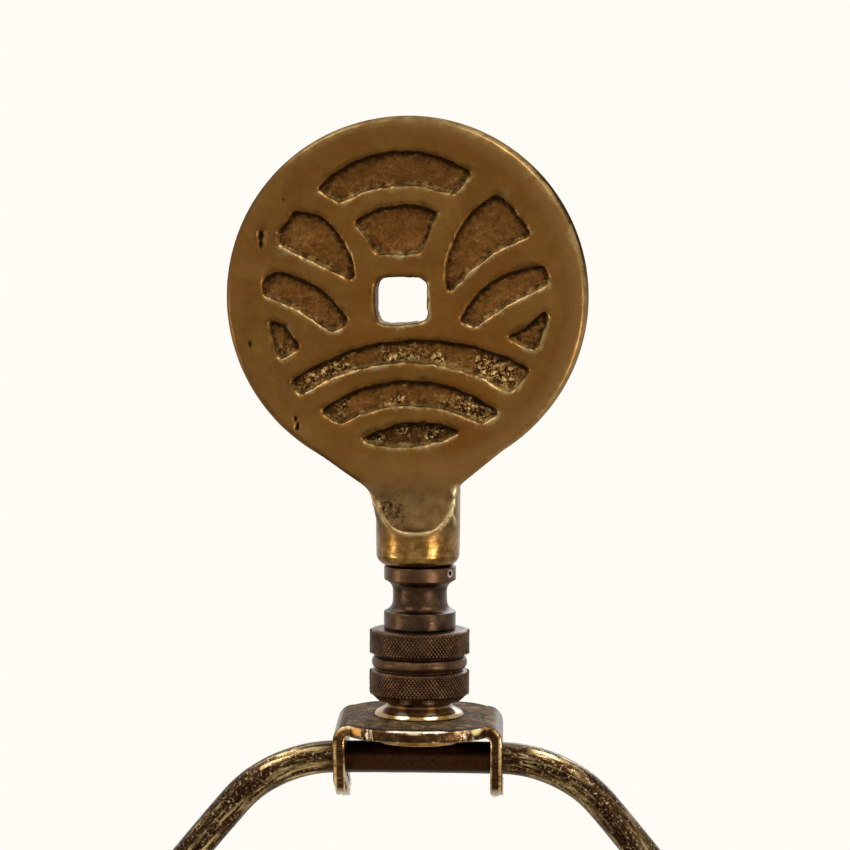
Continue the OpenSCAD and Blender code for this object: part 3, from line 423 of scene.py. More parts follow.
def softened(name, node, voxel):
    """An even, closed mesh in the shape of a node, fine enough to wear and dent."""
    shape = bmesh.new()
    shape.from_mesh(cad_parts[node].data)
    bmesh.ops.remove_doubles(shape, verts=shape.verts, dist=1e-6)
    piece = finished(name, shape)
    remesh = piece.modifiers.new("even_mesh", "REMESH")
    remesh.mode = "VOXEL"
    remesh.voxel_size = voxel
    made = bpy.data.meshes.new_from_object(
        piece.evaluated_get(bpy.context.evaluated_depsgraph_get()))
    piece.modifiers.clear()
    piece.data = made
    made.shade_smooth()
    return piece


def places_of(mesh):
    """Every vertex's place, one row each."""
    spots = np.empty(len(mesh.vertices) * 3, np.float32)
    mesh.vertices.foreach_get("co", spots)
    return spots.reshape(-1, 3).astype(float)


def set_places(mesh, spots):
    mesh.vertices.foreach_set("co", spots.astype(np.float32).ravel())
    mesh.update()


def neighbour_mean(mesh, values):
    """The mean of each vertex's neighbours."""
    ends = np.empty(len(mesh.edges) * 2, np.int32)
    mesh.edges.foreach_get("vertices", ends)
    a, b = ends[::2], ends[1::2]
    count = np.bincount(ends, minlength=len(values))
    return np.stack([(np.bincount(a, v[b], len(v)) + np.bincount(b, v[a], len(v))) / count
                     for v in values.T], axis=1)


def relaxed(mesh, spots, share, rounds):
    """Eases each vertex towards its neighbours, by its own share, so that edges soften."""
    for _ in range(rounds):
        spots = spots + np.reshape(share, (-1, 1)) * (neighbour_mean(mesh, spots) - spots)
    return spots


def keep_crests(mesh, size, rounds):
    """Stores how sharply the surface turns out (towards 1) or in (towards 0) as "crest"."""
    spots = places_of(mesh)
    normals = np.empty(len(spots) * 3, np.float32)
    mesh.vertices.foreach_get("normal", normals)
    bend = np.sum(normals.reshape(-1, 3) * (spots - neighbour_mean(mesh, spots)), axis=1)
    for _ in range(rounds):
        bend = 0.5 * bend + 0.5 * neighbour_mean(mesh, bend[:, None])[:, 0]
    kept = mesh.attributes.new("crest", "FLOAT", "POINT")
    kept.data.foreach_set("value", np.clip(0.5 + bend / size, 0, 1).astype(np.float32))


def rough(spots, scale, seed=0.0, octaves=3):
    """Seeded fractal noise at each place, about -1 to 1."""
    shift = Vector((seed, seed * 1.7, seed * 2.3))
    return np.array([noise.fractal(Vector(s) * scale + shift, 0.6, 2.0, octaves)
                     for s in spots])


HALF_W, FOLD_R, SHEET, PLATE_TOP_Z = 0.0124, 0.0024, 0.0018, 0.6010
bracket = softened("crimped_bracket", "harp_bracket", 0.00021)
spots = places_of(bracket.data)
to_fold = np.clip((np.abs(spots[:, 0]) - 0.0068) / 0.0032, 0, 1)
spots[:, 1] = np.where(to_fold > 0.92, np.clip(spots[:, 1], -0.01038, 0.01038),
                       spots[:, 1] * (1 - 0.13 * to_fold ** 2))
spots = relaxed(bracket.data, spots, np.full(len(spots), 0.5), 6)
low = np.clip((WIRE_TOP_Z - 0.0026 - spots[:, 2]) / 0.0025, 0, 1)
spots[:, 0] += low * (0.00025 * rough(spots, 520, 3.0) + np.where(spots[:, 0] < 0, 0.0006, 0.0001))
spots[:, 2] += low * 0.00035 * rough(spots, 380, 8.0)
set_places(bracket.data, spots)
keep_crests(bracket.data, 0.00009, 3)
past_fold = np.maximum(np.abs(spots[:, 0]) - (HALF_W - FOLD_R), 0)
above_fold = np.maximum(spots[:, 2] - (PLATE_TOP_Z - FOLD_R), 0)
into_sheet = np.clip((FOLD_R - np.hypot(past_fold, above_fold)) / SHEET, 0, 1)
kept = bracket.data.attributes.new("into_sheet", "FLOAT", "POINT")
kept.data.foreach_set("value", into_sheet.astype(np.float32))

bracket_brass, tree, shader, place = new_finish(
    "scratched_bracket_brass", Specular_IOR_Level=0.08)
crest = put(tree, "ShaderNodeAttribute", {}, "Fac", attribute_name="crest")
dull = cloud(tree, place, 330, 6, 0.65, 0.6)
drag = cloud(tree, stretched(tree, place, (0.3, 2.4, 1)), 1100, 4, 0.65)
drops = cloud(tree, place, 1000, 3, 0.7)
mixed = joined(tree, "ADD", joined(tree, "MULTIPLY", drag, 0.5), joined(tree, "MULTIPLY", dull, 0.5))
tarnish = shades(tree, mixed, (0.38, "#22150a"), (0.48, "#3b2816"), (0.56, "#523820"),
                 (0.66, "#866943"))
varnish = cloud(tree, stretched(tree, place, (1, 0.6, 1)), 400, 5, 0.6, 1.4)
grime_and_painted_light = shades(tree, varnish, (0.34, "#21180d"), (0.43, "#3f301d"), (0.53, "#53402a"),
               (0.62, "#68543b"), (0.7, "#857150"))
cracks = put(tree, "ShaderNodeTexVoronoi", {
    "Vector": stretched(tree, place, (1, 0.45, 1)), "Scale": 420.0}, "Distance",
    feature="DISTANCE_TO_EDGE")
grime_and_painted_light = over(tree, between(tree, cracks, 0.05, 0.01, 0, 0.6), grime_and_painted_light, "#120d08")
from_stud = put(tree, "ShaderNodeVectorMath", {0: stretched(tree, place, (1, 1, 0))}, "Value",
                operation="LENGTH")
# The top goes near black over its outer rim, by the edge.
grime_and_painted_light = over(tree, between(tree, from_stud, 0.0136, 0.0144, 0, 0.9), grime_and_painted_light, "#0c0805")
from_punch = put(tree, "ShaderNodeVectorMath", {0: stretched(tree, place, (1, 1, 0)),
                                                1: (0.0001, -0.0112, 0)}, "Value",
                 operation="DISTANCE")
# A punch mark with no dent under it: a pale ring as painted highlight round a dark middle as painted
# shade.
grime_and_painted_light = over(tree, between(tree, from_punch, 0.0010, 0.0008, 0, 0.6), grime_and_painted_light, "#8f8471")
grime_and_painted_light = over(tree, between(tree, from_punch, 0.0007, 0.0006), grime_and_painted_light, "#0d0906")
on_top = between(tree, put(tree, "ShaderNodeSeparateXYZ", {
    0: put(tree, "ShaderNodeTexCoord", {}, "Normal")}, 2), 0.7, 0.97)
out = put(tree, "ShaderNodeMath", {0: put(tree, "ShaderNodeSeparateXYZ", {0: place}, 0)},
          operation="ABSOLUTE")
inward = put(tree, "ShaderNodeAttribute", {}, "Fac", attribute_name="into_sheet")
# Bright lines along the sheet's rounded edges, just under its top and just above its underside: partly
# rubbed brass, partly painted highlight.
outer_sheen_line = joined(tree, "MULTIPLY", between(tree, inward, 0.04, 0.14), between(
    tree, inward, 0.36, 0.22))
inner_sheen_line = joined(tree, "MULTIPLY", between(tree, inward, 0.82, 0.9), between(
    tree, inward, 0.99, 0.96))
edge_highlight_lines = joined(tree, "MAXIMUM", outer_sheen_line, inner_sheen_line)
lit = joined(tree, "MULTIPLY", edge_highlight_lines, between(tree, joined(
    tree, "ADD", dull, joined(tree, "MULTIPLY", between(tree, out, 0.004, 0.010), 0.10)),
    0.51, 0.60, 0.05, 1))
rubbed = shades(tree, dull, (0.34, "#8c622c"), (0.5, "#b98f53"), (0.66, "#efdcb2"))
tips = between(tree, put(tree, "ShaderNodeSeparateXYZ", {0: place}, 2), 0.5912, 0.5902)
nicks = cloud(tree, stretched(tree, place, (1, 0.2, 0.22)), 2300, 3, 0.6)
by_fold = joined(tree, "MULTIPLY", between(tree, out, 0.0056, 0.0066),
                 between(tree, out, 0.0090, 0.0080))
tarnish = over(tree, joined(tree, "MULTIPLY", between(tree, nicks, 0.54, 0.6), by_fold), tarnish,
               "#b09a80")
tarnish = over(tree, joined(tree, "MULTIPLY", between(tree, nicks, 0.46, 0.4), by_fold), tarnish,
               "#1d120a")
sideways = put(tree, "ShaderNodeSeparateXYZ", {0: place}, 0)
tarnish = over(tree, between(tree, sideways, 0.0088, 0.0105, 0, 0.45), tarnish, "#2b190d")
tone = over(tree, on_top, tarnish, grime_and_painted_light)
# The edge lines are laid on in rubbed-brass tones as painted highlight.
tone = over(tree, lit, tone, rubbed)
# Painted highlights: a hot spot on the front of each fold, orange on the left and pale yellow on the
# right.
for spot, fold_highlight in (((-0.0089, 0, 0.6003), "#f0ab55"), ((0.0086, 0, 0.6006), "#ffe8a6")):
    away = put(tree, "ShaderNodeVectorMath", {0: stretched(tree, place, (0.8, 0, 1)),
                                              1: (0.8 * spot[0], 0, spot[2])}, "Value",
               operation="DISTANCE")
    away = joined(tree, "ADD", away, joined(tree, "MULTIPLY", on_top, 0.01))
    tone = over(tree, joined(tree, "MULTIPLY", between(tree, away, 0.0007, 0.0003),
                             between(tree, dull, 0.4, 0.52, 0.3, 1)), tone, fold_highlight)
# Painted highlight: a pale cream line just under the top of the plate's edge, near the middle.
lip_highlight = joined(tree, "MULTIPLY", joined(tree, "MULTIPLY", between(tree, inward, 0.01, 0.06), between(
    tree, inward, 0.2, 0.12)), between(tree, out, 0.0046, 0.0030))
tone = over(tree, lip_highlight, tone, "#eadbc2")
tone = over(tree, between(tree, crest, 0.45, 0.25, 0, 0.8), tone, "#24170c")
tone = over(tree, between(tree, drops, 0.62, 0.72, 0, 0.8), tone, "#2e1f12")
lead(tree, over(tree, tips, tone, "#cfc4b2"), shader, "Base Color")
lead(tree, between(tree, on_top, 0, 1, 1, 0.05), shader, "Metallic")
lead(tree, joined(tree, "ADD", between(tree, drag, 0.3, 0.7, 0.2, 0.36),
                  joined(tree, "MULTIPLY", on_top, 0.42)), shader, "Roughness")
relief(tree, shader, drag, 0.00006)
relief(tree, shader, dull, 0.0002)
fit(bracket, bracket_brass, "bracket", "bracket_brass", "harp_bracket")


# ---- Stud and riser ----------------------------------------------------------------------
# A turned brass stud is riveted through the plate, with a polished flared shoulder above.
# The bronze riser screws down on it: two knurled rings for the fingers and a bead between.

def lathe(shape, outline, turns, wear=0.0, seed=0.0):
    """Adds a turned solid about the lamp's axis: points of radius and height, bottom to top."""
    loops = []
    for radius, level in outline:
        if radius < 1e-7:
            loops.append([shape.verts.new((0, 0, level))])
            continue
        loop = []
        for j in range(turns):
            turn = 2 * math.pi * j / turns
            out = Vector((math.cos(turn), math.sin(turn), 0))
            spot = out * radius + Vector((0, 0, level))
            dent = wear * noise.noise(spot * 600 + Vector((seed, 0, 0)))
            loop.append(shape.verts.new(spot + dent * out))
        loops.append(loop)
    for a, b in zip(loops, loops[1:]):
        for j in range(turns):
            k = (j + 1) % turns
            corners = []
            for corner in (a[j % len(a)], a[k % len(a)], b[k % len(b)], b[j % len(b)]):
                if corner not in corners:
                    corners.append(corner)
            if len(corners) > 2:
                shape.faces.new(corners)
    for loop, flip in ((loops[0], True), (loops[-1], False)):
        if len(loop) > 1:
            shape.faces.new(list(reversed(loop)) if flip else loop)


def rounded(outline, edge):
    """The outline with each corner cut back twice, so that it shades as a rounded edge."""
    done = [outline[0]]
    for before, corner, after in zip(outline, outline[1:], outline[2:]):
        b, c, a = Vector(before), Vector(corner), Vector(after)
        cut = min(edge, 0.4 * (b - c).length, 0.4 * (a - c).length)
        p, q = c + (b - c).normalized() * cut, c + (a - c).normalized() * cut
        for t in (0, 0.33, 0.67, 1):
            done.append(tuple(p * (1 - t) ** 2 + c * 2 * t * (1 - t) + q * t * t))
    return done + [outline[-1]]


THREAD_R, THREAD_PITCH = 0.003175, 0.00094
RISER_Z, RISER_TOP_Z = 0.60295, 0.61395


def geometry_tree(name, *inputs):
    """A Geometry Nodes tree that takes a mesh and named sizes, and gives a mesh."""
    tree = bpy.data.node_groups.new(name, "GeometryNodeTree")
    tree.interface.new_socket("Geometry", in_out="INPUT", socket_type="NodeSocketGeometry")
    for label, kind in inputs:
        tree.interface.new_socket(label, in_out="INPUT", socket_type="NodeSocket" + kind)
    tree.interface.new_socket("Geometry", in_out="OUTPUT", socket_type="NodeSocketGeometry")
    return tree, tree.nodes.new("NodeGroupInput").outputs


def close_tree(tree, sizes, added, finish):
    """Joins what the tree adds to the piece, makes it real and gives it the finish."""
    both = tree.nodes.new("GeometryNodeJoinGeometry")
    tree.links.new(sizes["Geometry"], both.inputs[0])
    tree.links.new(added, both.inputs[0])
    real = put(tree, "GeometryNodeRealizeInstances", {0: both.outputs[0]})
    done = put(tree, "GeometryNodeSetMaterial", {"Geometry": real, "Material": finish})
    tree.links.new(done, tree.nodes.new("NodeGroupOutput").inputs[0])


def grow(piece, tree, **sizes):
    """Runs a Geometry Nodes tree on a piece with these sizes and keeps the plain mesh."""
    modifier = piece.modifiers.new(tree.name, "NODES")
    modifier.node_group = tree
    for socket in tree.interface.items_tree:
        if socket.in_out == "INPUT" and socket.name.replace(" ", "_") in sizes:
            modifier[socket.identifier] = sizes[socket.name.replace(" ", "_")]
    made = bpy.data.meshes.new_from_object(
        piece.evaluated_get(bpy.context.evaluated_depsgraph_get()))
    piece.modifiers.remove(modifier)
    piece.data = made
    made.shade_smooth()


def thread_tree(finish):
    """A rolled thread: a ridge that winds around a pin."""
    tree, sizes = geometry_tree("rolled_thread", ("Radius", "Float"), ("Pitch", "Float"),
                                ("Turns", "Float"), ("Bottom", "Float"))
    core = joined(tree, "SUBTRACT", sizes["Radius"], joined(tree, "MULTIPLY", sizes["Pitch"], 0.5))
    winding = put(tree, "GeometryNodeCurveSpiral", {
        "Resolution": 40, "Rotations": sizes["Turns"], "Start Radius": core, "End Radius": core,
        "Height": joined(tree, "MULTIPLY", sizes["Pitch"], sizes["Turns"])})
    ridge = put(tree, "GeometryNodeCurvePrimitiveCircle", {
        "Resolution": 4, "Radius": joined(tree, "MULTIPLY", sizes["Pitch"], 0.5)}, mode="RADIUS")
    wound = put(tree, "GeometryNodeCurveToMesh", {"Curve": winding, "Profile Curve": ridge,
                                                  "Fill Caps": True})
    lift = put(tree, "ShaderNodeCombineXYZ", {"Z": sizes["Bottom"]})
    placed = put(tree, "GeometryNodeTransform", {"Geometry": wound, "Translation": lift})
    close_tree(tree, sizes, placed, finish)
    return tree


stud_brass, tree, shader, place = new_finish("polished_stud_brass", Metallic=1.0)
worn = cloud(tree, place, 420, 5, 0.6)
level = put(tree, "ShaderNodeSeparateXYZ", {0: place}, 2)
bright = shades(tree, worn, (0.3, "#5f4520"), (0.5, "#8a6833"), (0.72, "#bd9c61"))
darkened = shades(tree, worn, (0.3, "#4a3018"), (0.5, "#6f4b26"), (0.7, "#9a6f38"))
tone = over(tree, between(tree, level, 0.6017, 0.6022), bright, darkened)
sideways = put(tree, "ShaderNodeSeparateXYZ", {0: place}, 0)
# Painted reflection: the stud is paler more than 4.9 mm out from its axis, on both sides.
pale_side_reflections = between(tree, put(tree, "ShaderNodeMath", {0: sideways}, operation="ABSOLUTE"),
                0.0042, 0.0049)
tone = over(tree, joined(tree, "MULTIPLY", pale_side_reflections, 0.75), tone, "#a8906f")
# Painted reflections and highlights: a warm streak up the neck on each side of the middle, and a
# near-white spot low on the flare under each.
for from_middle, streak_reflection in ((-0.0024, "#b58643"), (0.0019, "#cf9a50")):
    across = put(tree, "ShaderNodeMath", {0: joined(tree, "SUBTRACT", sideways, from_middle)},
                 operation="ABSOLUTE")
    tone = over(tree, joined(tree, "MULTIPLY", between(tree, across, 0.0007, 0.0002, 0, 0.8),
                             between(tree, level, 0.6018, 0.6023)), tone, streak_reflection)
    spot = put(tree, "ShaderNodeVectorMath", {
        0: stretched(tree, place, (0.5, 0, 1)), 1: (from_middle / 2, 0, 0.6016)}, "Value",
        operation="DISTANCE")
    tone = over(tree, between(tree, spot, 0.0006, 0.0003), tone, "#fff3d2")
lead(tree, tone, shader, "Base Color")
lead(tree, between(tree, level, 0.6017, 0.6022, 1, 0.4), shader, "Metallic")
lead(tree, between(tree, worn, 0.3, 0.7, 0.26, 0.14), shader, "Roughness")
relief(tree, shader, cloud(tree, stretched(tree, place, (1, 1, 8)), 900, 3), 0.00003)

shape = bmesh.new()
lathe(shape, rounded([
    (0, 0.59715), (0.0060, 0.59715), (0.0071, 0.5974), (0.0075, 0.5980), (0.0075, 0.5991),
    (0.0034, 0.5991),
    (0.0034, PLATE_TOP_Z), (0.0066, PLATE_TOP_Z), (0.0066, 0.6013), (0.00635, 0.6017),
    (0.0058, 0.6020), (0.0052, 0.60225), (0.0049, 0.6025), (0.0048, RISER_Z),
    (THREAD_R - 0.00047, RISER_Z),
    (THREAD_R - 0.00047, RISER_Z + 7 * THREAD_PITCH), (0, RISER_Z + 7 * THREAD_PITCH)], 0.00025),
    96, 0.00002)
stud = finished("riveted_stud", shape)
grow(stud, thread_tree(stud_brass), Radius=THREAD_R, Pitch=THREAD_PITCH, Turns=6.0,
     Bottom=RISER_Z + THREAD_PITCH / 2)
fit(stud, stud_brass, "bracket", "stud_brass", "bracket_stud")

bronze, tree, shader, place = new_finish("dark_chocolate_bronze", Metallic=1.0)
cloudy = cloud(tree, place, 420, 5, 0.6, 0.4)
rubbed = cloud(tree, stretched(tree, place, (1, 1, 3)), 800, 4, 0.65)
on_riser = between(tree, put(tree, "ShaderNodeSeparateXYZ", {0: place}, 2), 0.6141, 0.6138)
# Painted light: the riser gets lighter tones than the collar, to make up for the shade between the
# knurl's points.
lead(tree, over(tree, between(tree, rubbed, 0.6, 0.74, 0, 0.5),
                over(tree, on_riser,
                     shades(tree, cloudy, (0.3, "#2a1d14"), (0.5, "#3f2e21"), (0.7, "#574330")),
                     shades(tree, cloudy, (0.3, "#332417"), (0.5, "#493424"), (0.7, "#614934"))),
                "#93714a"), shader, "Base Color")
lead(tree, joined(tree, "MAXIMUM", between(tree, cloudy, 0.3, 0.7, 0.28, 0.4),
                  between(tree, on_riser, 0, 1, 0, 0.42)), shader, "Roughness")
relief(tree, shader, rubbed, 0.00003)


def knurl_tree(finish):
    """Diamond knurling: blunt, unevenly worn points in staggered rows around a ring."""
    tree, sizes = geometry_tree("diamond_knurl", ("Radius", "Float"), ("Bottom", "Float"),
                                ("Height", "Float"), ("Round", "Int"), ("Rows", "Int"),
                                ("Depth", "Float"))
    number = tree.nodes.new("GeometryNodeInputIndex").outputs[0]
    row = joined(tree, "FLOOR", joined(tree, "DIVIDE", number, sizes["Round"]), 0)
    stagger = joined(tree, "MULTIPLY", joined(tree, "MODULO", row, 2), 0.5)
    share = joined(tree, "DIVIDE", joined(tree, "ADD", number, stagger), sizes["Round"])
    turn = joined(tree, "MULTIPLY", share, 2 * math.pi)
    step = joined(tree, "DIVIDE", sizes["Height"], sizes["Rows"])
    level = joined(tree, "ADD", sizes["Bottom"],
                   joined(tree, "MULTIPLY", joined(tree, "ADD", row, 0.5), step))
    root = joined(tree, "SUBTRACT", sizes["Radius"], sizes["Depth"])
    spot = put(tree, "ShaderNodeCombineXYZ", {
        0: joined(tree, "MULTIPLY", joined(tree, "COSINE", turn, 0), root),
        1: joined(tree, "MULTIPLY", joined(tree, "SINE", turn, 0), root), 2: level})
    points = put(tree, "GeometryNodePoints", {
        "Count": joined(tree, "MULTIPLY", sizes["Round"], sizes["Rows"]), "Position": spot})
    half = joined(tree, "MULTIPLY", joined(tree, "DIVIDE", root, sizes["Round"]), math.pi)
    wear = between(tree, cloud(tree, put(tree, "GeometryNodeInputPosition", {}), 520, 3, 0.75),
                   0.36, 0.6, 0.3, 1)
    deep = joined(tree, "MULTIPLY", sizes["Depth"], wear)
    blunt = put(tree, "GeometryNodeMeshCone", {
        "Vertices": 4, "Side Segments": 1, "Fill Segments": 1, "Radius Top": 0.4,
        "Radius Bottom": 1.04, "Depth": 1.0}, fill_type="NGON")
    stood = put(tree, "GeometryNodeInstanceOnPoints", {
        "Points": points, "Instance": blunt,
        "Rotation": put(tree, "ShaderNodeCombineXYZ", {1: math.pi / 2, 2: turn}),
        "Scale": put(tree, "ShaderNodeCombineXYZ", {0: step, 1: half, 2: deep})})
    close_tree(tree, sizes, stood, finish)
    return tree


RING_R, BEAD_R = 0.0074, 0.00705
shape = bmesh.new()
low, high = RISER_Z + 0.0050, RISER_Z + 0.0072
bead = [(BEAD_R - 0.0011 + 0.0011 * math.cos(math.radians(t)),
         low + 0.0011 + 0.0011 * math.sin(math.radians(t))) for t in range(-70, 71, 10)]
lathe(shape, rounded([
    (THREAD_R + 0.00006, RISER_Z), (0.0047, RISER_Z), (0.0061, RISER_Z + 0.0004),
    (RING_R - 0.00026, RISER_Z + 0.0014), (RING_R - 0.00026, RISER_Z + 0.0047),
    (0.00655, low)], 0.00015)
    + bead + rounded([
        (0.00655, high), (RING_R - 0.00026, RISER_Z + 0.0075),
        (RING_R - 0.00026, RISER_TOP_Z - 0.0003), (RING_R - 0.0007, RISER_TOP_Z),
        (THREAD_R - 0.00047, RISER_TOP_Z), (THREAD_R - 0.00047, RISER_TOP_Z + 7 * THREAD_PITCH),
        (0, RISER_TOP_Z + 7 * THREAD_PITCH)], 0.00015), 120, 0.00002)
riser = finished("knurled_riser", shape)
knurl = knurl_tree(bronze)
grow(riser, knurl, Radius=RING_R, Bottom=RISER_Z + 0.0015, Height=0.0032, Round=84, Rows=9,
     Depth=0.00008)
grow(riser, knurl, Radius=RING_R, Bottom=RISER_Z + 0.0075, Height=0.0032, Round=84, Rows=9,
     Depth=0.00008)
grow(riser, thread_tree(bronze), Radius=THREAD_R, Pitch=THREAD_PITCH, Turns=6.0,
     Bottom=RISER_TOP_Z + THREAD_PITCH / 2)
fit(riser, bronze, "bracket", "dark_bronze", "riser")


# ---- Collar ------------------------------------------------------------------------------
# A turned bronze foot for the casting: a band, a cove and a flange, tapped for the riser's
# pin. Its spigot goes up into the boss. The flange has a small knock on its right.

COLLAR_TOP_Z = RISER_TOP_Z + 0.0094
shape = bmesh.new()
cove = [(0.004 + 0.0010 * (2 * t - 1) ** 4, RISER_TOP_Z + 0.0027 + 0.0045 * t)
        for t in [i / 14 for i in range(15)]]
lathe(shape, rounded([(THREAD_R + 0.00006, RISER_TOP_Z), (0.0053, RISER_TOP_Z),
                      (0.0053, RISER_TOP_Z + 0.0026), (0.0050, RISER_TOP_Z + 0.0027)], 0.0003)
      + cove + rounded([(0.0050, RISER_TOP_Z + 0.0073), (0.0053, RISER_TOP_Z + 0.0073),
                        (0.0053, COLLAR_TOP_Z - 0.0016), (0.0053, COLLAR_TOP_Z - 0.0012),
                        (0.0053, COLLAR_TOP_Z - 0.0008), (0.0053, COLLAR_TOP_Z),
                        (0.0029, COLLAR_TOP_Z),
                        (0.0029, COLLAR_TOP_Z + 0.007), (0, COLLAR_TOP_Z + 0.007)], 0.0003),
      144, 0.00004, 5.0)
collar = finished("turned_collar", shape)
spots = places_of(collar.data)
knock = np.array((0.0045, -0.0028, COLLAR_TOP_Z - 0.0009))
near = np.linalg.norm(spots - knock, axis=1)
spots[:, :2] *= (1 - 0.05 * np.exp(-(near / 0.0004) ** 2))[:, None]
set_places(collar.data, spots)
squash = (1.3, 0.3, 0.8)
from_knock = put(tree, "ShaderNodeVectorMath", {
    0: stretched(tree, place, squash), 1: tuple(knock * squash)}, "Value", operation="DISTANCE")
flange = put(tree, "ShaderNodeSeparateXYZ", {0: place}, 2)
tone = over(tree, between(tree, flange, COLLAR_TOP_Z - 0.0023, COLLAR_TOP_Z - 0.0020, 0, 0.35),
            shader.inputs["Base Color"].links[0].from_socket, "#5f432e")
in_cove = joined(tree, "MULTIPLY", between(tree, flange, RISER_TOP_Z + 0.0026, RISER_TOP_Z + 0.003),
                 between(tree, flange, RISER_TOP_Z + 0.0073, RISER_TOP_Z + 0.0070, 0, 0.3))
tone = over(tree, in_cove, tone, "#1d120b")
# The knock: a pale ring as painted highlight round a dark middle as painted shade, over the slight
# dent.
tone = over(tree, between(tree, from_knock, 0.00055, 0.00042, 0, 0.85), tone, "#cbbba6")
lead(tree, over(tree, between(tree, from_knock, 0.00034, 0.00026), tone, "#0e0906"), shader,
     "Base Color")
fit(collar, bronze, "collar", "dark_bronze", "finial_collar")


# ---- Finial ------------------------------------------------------------------------------
# One brass casting: a round boss, a scalloped neck and a coin-shaped disc with a recessed
# pattern of fans around a square hole. Its raised faces are worn smooth, the recesses keep
# the grain of the sand mould, and small casting pits are left here and there.

LEAN, TURN, CASTING_X = math.radians(2.6), math.radians(4.4), -0.0003
DISC_RISE, DISC_R, DISC_T, RECESS_D = 0.0396, 0.0265, 0.006, 0.0011


def to_casting(spots):
    """From the lamp's frame to the disc's: right, up and forward from the disc's centre."""
    x = spots[:, 0] * math.cos(TURN) - spots[:, 1] * math.sin(TURN) - CASTING_X
    y = spots[:, 0] * math.sin(TURN) + spots[:, 1] * math.cos(TURN)
    z = spots[:, 2] - COLLAR_TOP_Z
    return np.stack([x * math.cos(LEAN) + z * math.sin(LEAN),
                     z * math.cos(LEAN) - x * math.sin(LEAN) - DISC_RISE, -y], axis=1)


def from_casting(local):
    """From the disc's frame back to the lamp's."""
    up = local[:, 1] + DISC_RISE
    x = local[:, 0] * math.cos(LEAN) - up * math.sin(LEAN) + CASTING_X
    z = up * math.cos(LEAN) + local[:, 0] * math.sin(LEAN) + COLLAR_TOP_Z
    y = -local[:, 2]
    return np.stack([x * math.cos(TURN) + y * math.sin(TURN),
                     y * math.cos(TURN) - x * math.sin(TURN), z], axis=1)


finial = softened("cast_finial", "finial", 0.00028)
local = to_casting(places_of(finial.data))
reach = np.hypot(local[:, 0], local[:, 1])
side = np.sign(local[:, 2])
thick = np.abs(local[:, 2])
in_web = (np.clip(DISC_R - 0.0002 - 0.6018 * np.abs(local[:, 0]) + 0.7986 * local[:, 1], 0, 0.001)
          / 0.001 * (local[:, 1] < -0.018) * (local[:, 1] > -0.0292) * (reach > 0.0236))
local[:, 2] = side * np.where(thick > 0.0017, thick + in_web * np.maximum(0.00297 - thick, 0), thick)
squared = np.clip((local[:, 1] + 0.0345) / 0.003, 0, 1) * np.clip((-0.0285 - local[:, 1]) / 0.001, 0, 1)
round_x = np.sqrt(np.maximum(0.0062 ** 2 - np.minimum(thick, 0.0029) ** 2, 1e-9))
wide = np.abs(local[:, 0]) * (1 + squared * (0.00615 / round_x - 1))
local[:, 0] = np.sign(local[:, 0]) * np.where(wide > 0.00615, np.maximum(np.abs(local[:, 0]),
                                                                         0.00615 * squared), wide)
local[:, 1] += 0.0006 * (np.clip((local[:, 1] + 0.0372) / 0.001, 0, 1)
                         * np.clip((-0.0290 - local[:, 1]) / 0.002, 0, 1))
depth = DISC_T / 2 - np.abs(local[:, 2])
inside = np.clip((0.0252 - reach) / 0.0008, 0, 1)
in_face = inside * np.clip((RECESS_D + 0.0005 - depth) / 0.0003, 0, 1)
local = relaxed(finial.data, local, 0.5 * np.ones(len(local)), 4)
local = relaxed(finial.data, local, 0.5 * in_face, 5)
joint = (np.clip((local[:, 1] + 0.0325) / 0.001, 0, 1) * np.clip((-0.0265 - local[:, 1]) / 0.001, 0, 1)
         * np.clip((np.abs(local[:, 2]) - 0.0023) / 0.0004, 0, 1)
         * np.clip((0.0046 - np.abs(local[:, 0])) / 0.0008, 0, 1))
local = relaxed(finial.data, local, 0.5 * joint, 24)
hollow = np.clip((DISC_T / 2 - np.abs(local[:, 2])) / RECESS_D, 0, 1) * inside
for axis, seed in ((0, 11.0), (1, 23.0)):
    local[:, axis] += in_face * (0.00017 * rough(local, 330, seed, 2)
                                 + 0.00008 * rough(local, 1300, seed + 5, 2))
floor_share = np.clip((hollow - 0.3) / 0.5, 0, 1) * in_face
local[:, 2] += side * (floor_share * 0.00013 * rough(local, 1300, 31.0, 3)
                       + 0.00003 * rough(local, 260, 41.0, 2))
pits = [(-0.0209, 0.0099, 0.0006, 0.0005), (-0.0210, 0.0086, 0.0005, 0.0004),
        (-0.0169, -0.0172, 0.0004, 0.0004), (-0.0167, -0.0183, 0.0005, 0.0004),
        (-0.0044, -0.0308, 0.0003, 0.0002), (-0.0033, -0.0302, 0.0003, 0.0002),
        (0.0030, -0.0002, 0.0005, 0.0004),
        (-0.0174, 0.0149, 0.0003, 0.0001), (-0.0232, -0.0060, 0.0004, 0.0002)]
pitted = np.zeros(len(local))
for right_of, above, radius, sink in pits:
    away = np.hypot((local[:, 0] - right_of) * 1.5, (local[:, 1] - above) * 0.8)
    away *= 1 + 0.35 * rough(local, 1500, 7.0, 2)
    dent = np.where(local[:, 2] > 0, np.exp(-(away / radius) ** 2), 0)
    local[:, 2] -= sink * dent
    pitted = np.maximum(pitted, dent)
boss = np.clip((-0.0330 - local[:, 1]) / 0.001, 0, 1)
barrel = 1 - boss * 4000 * np.minimum(0, local[:, 1] + 0.0358) ** 2
local[:, 0] *= barrel
local[:, 2] *= barrel
set_places(finial.data, from_casting(local))
keep_crests(finial.data, 0.00010, 4)
cramped = hollow.copy()
for _ in range(14):
    cramped = 0.3 * cramped + 0.7 * neighbour_mean(finial.data, cramped[:, None])[:, 0]
cramped = np.where(hollow > 0.7, 1 - cramped, 0)
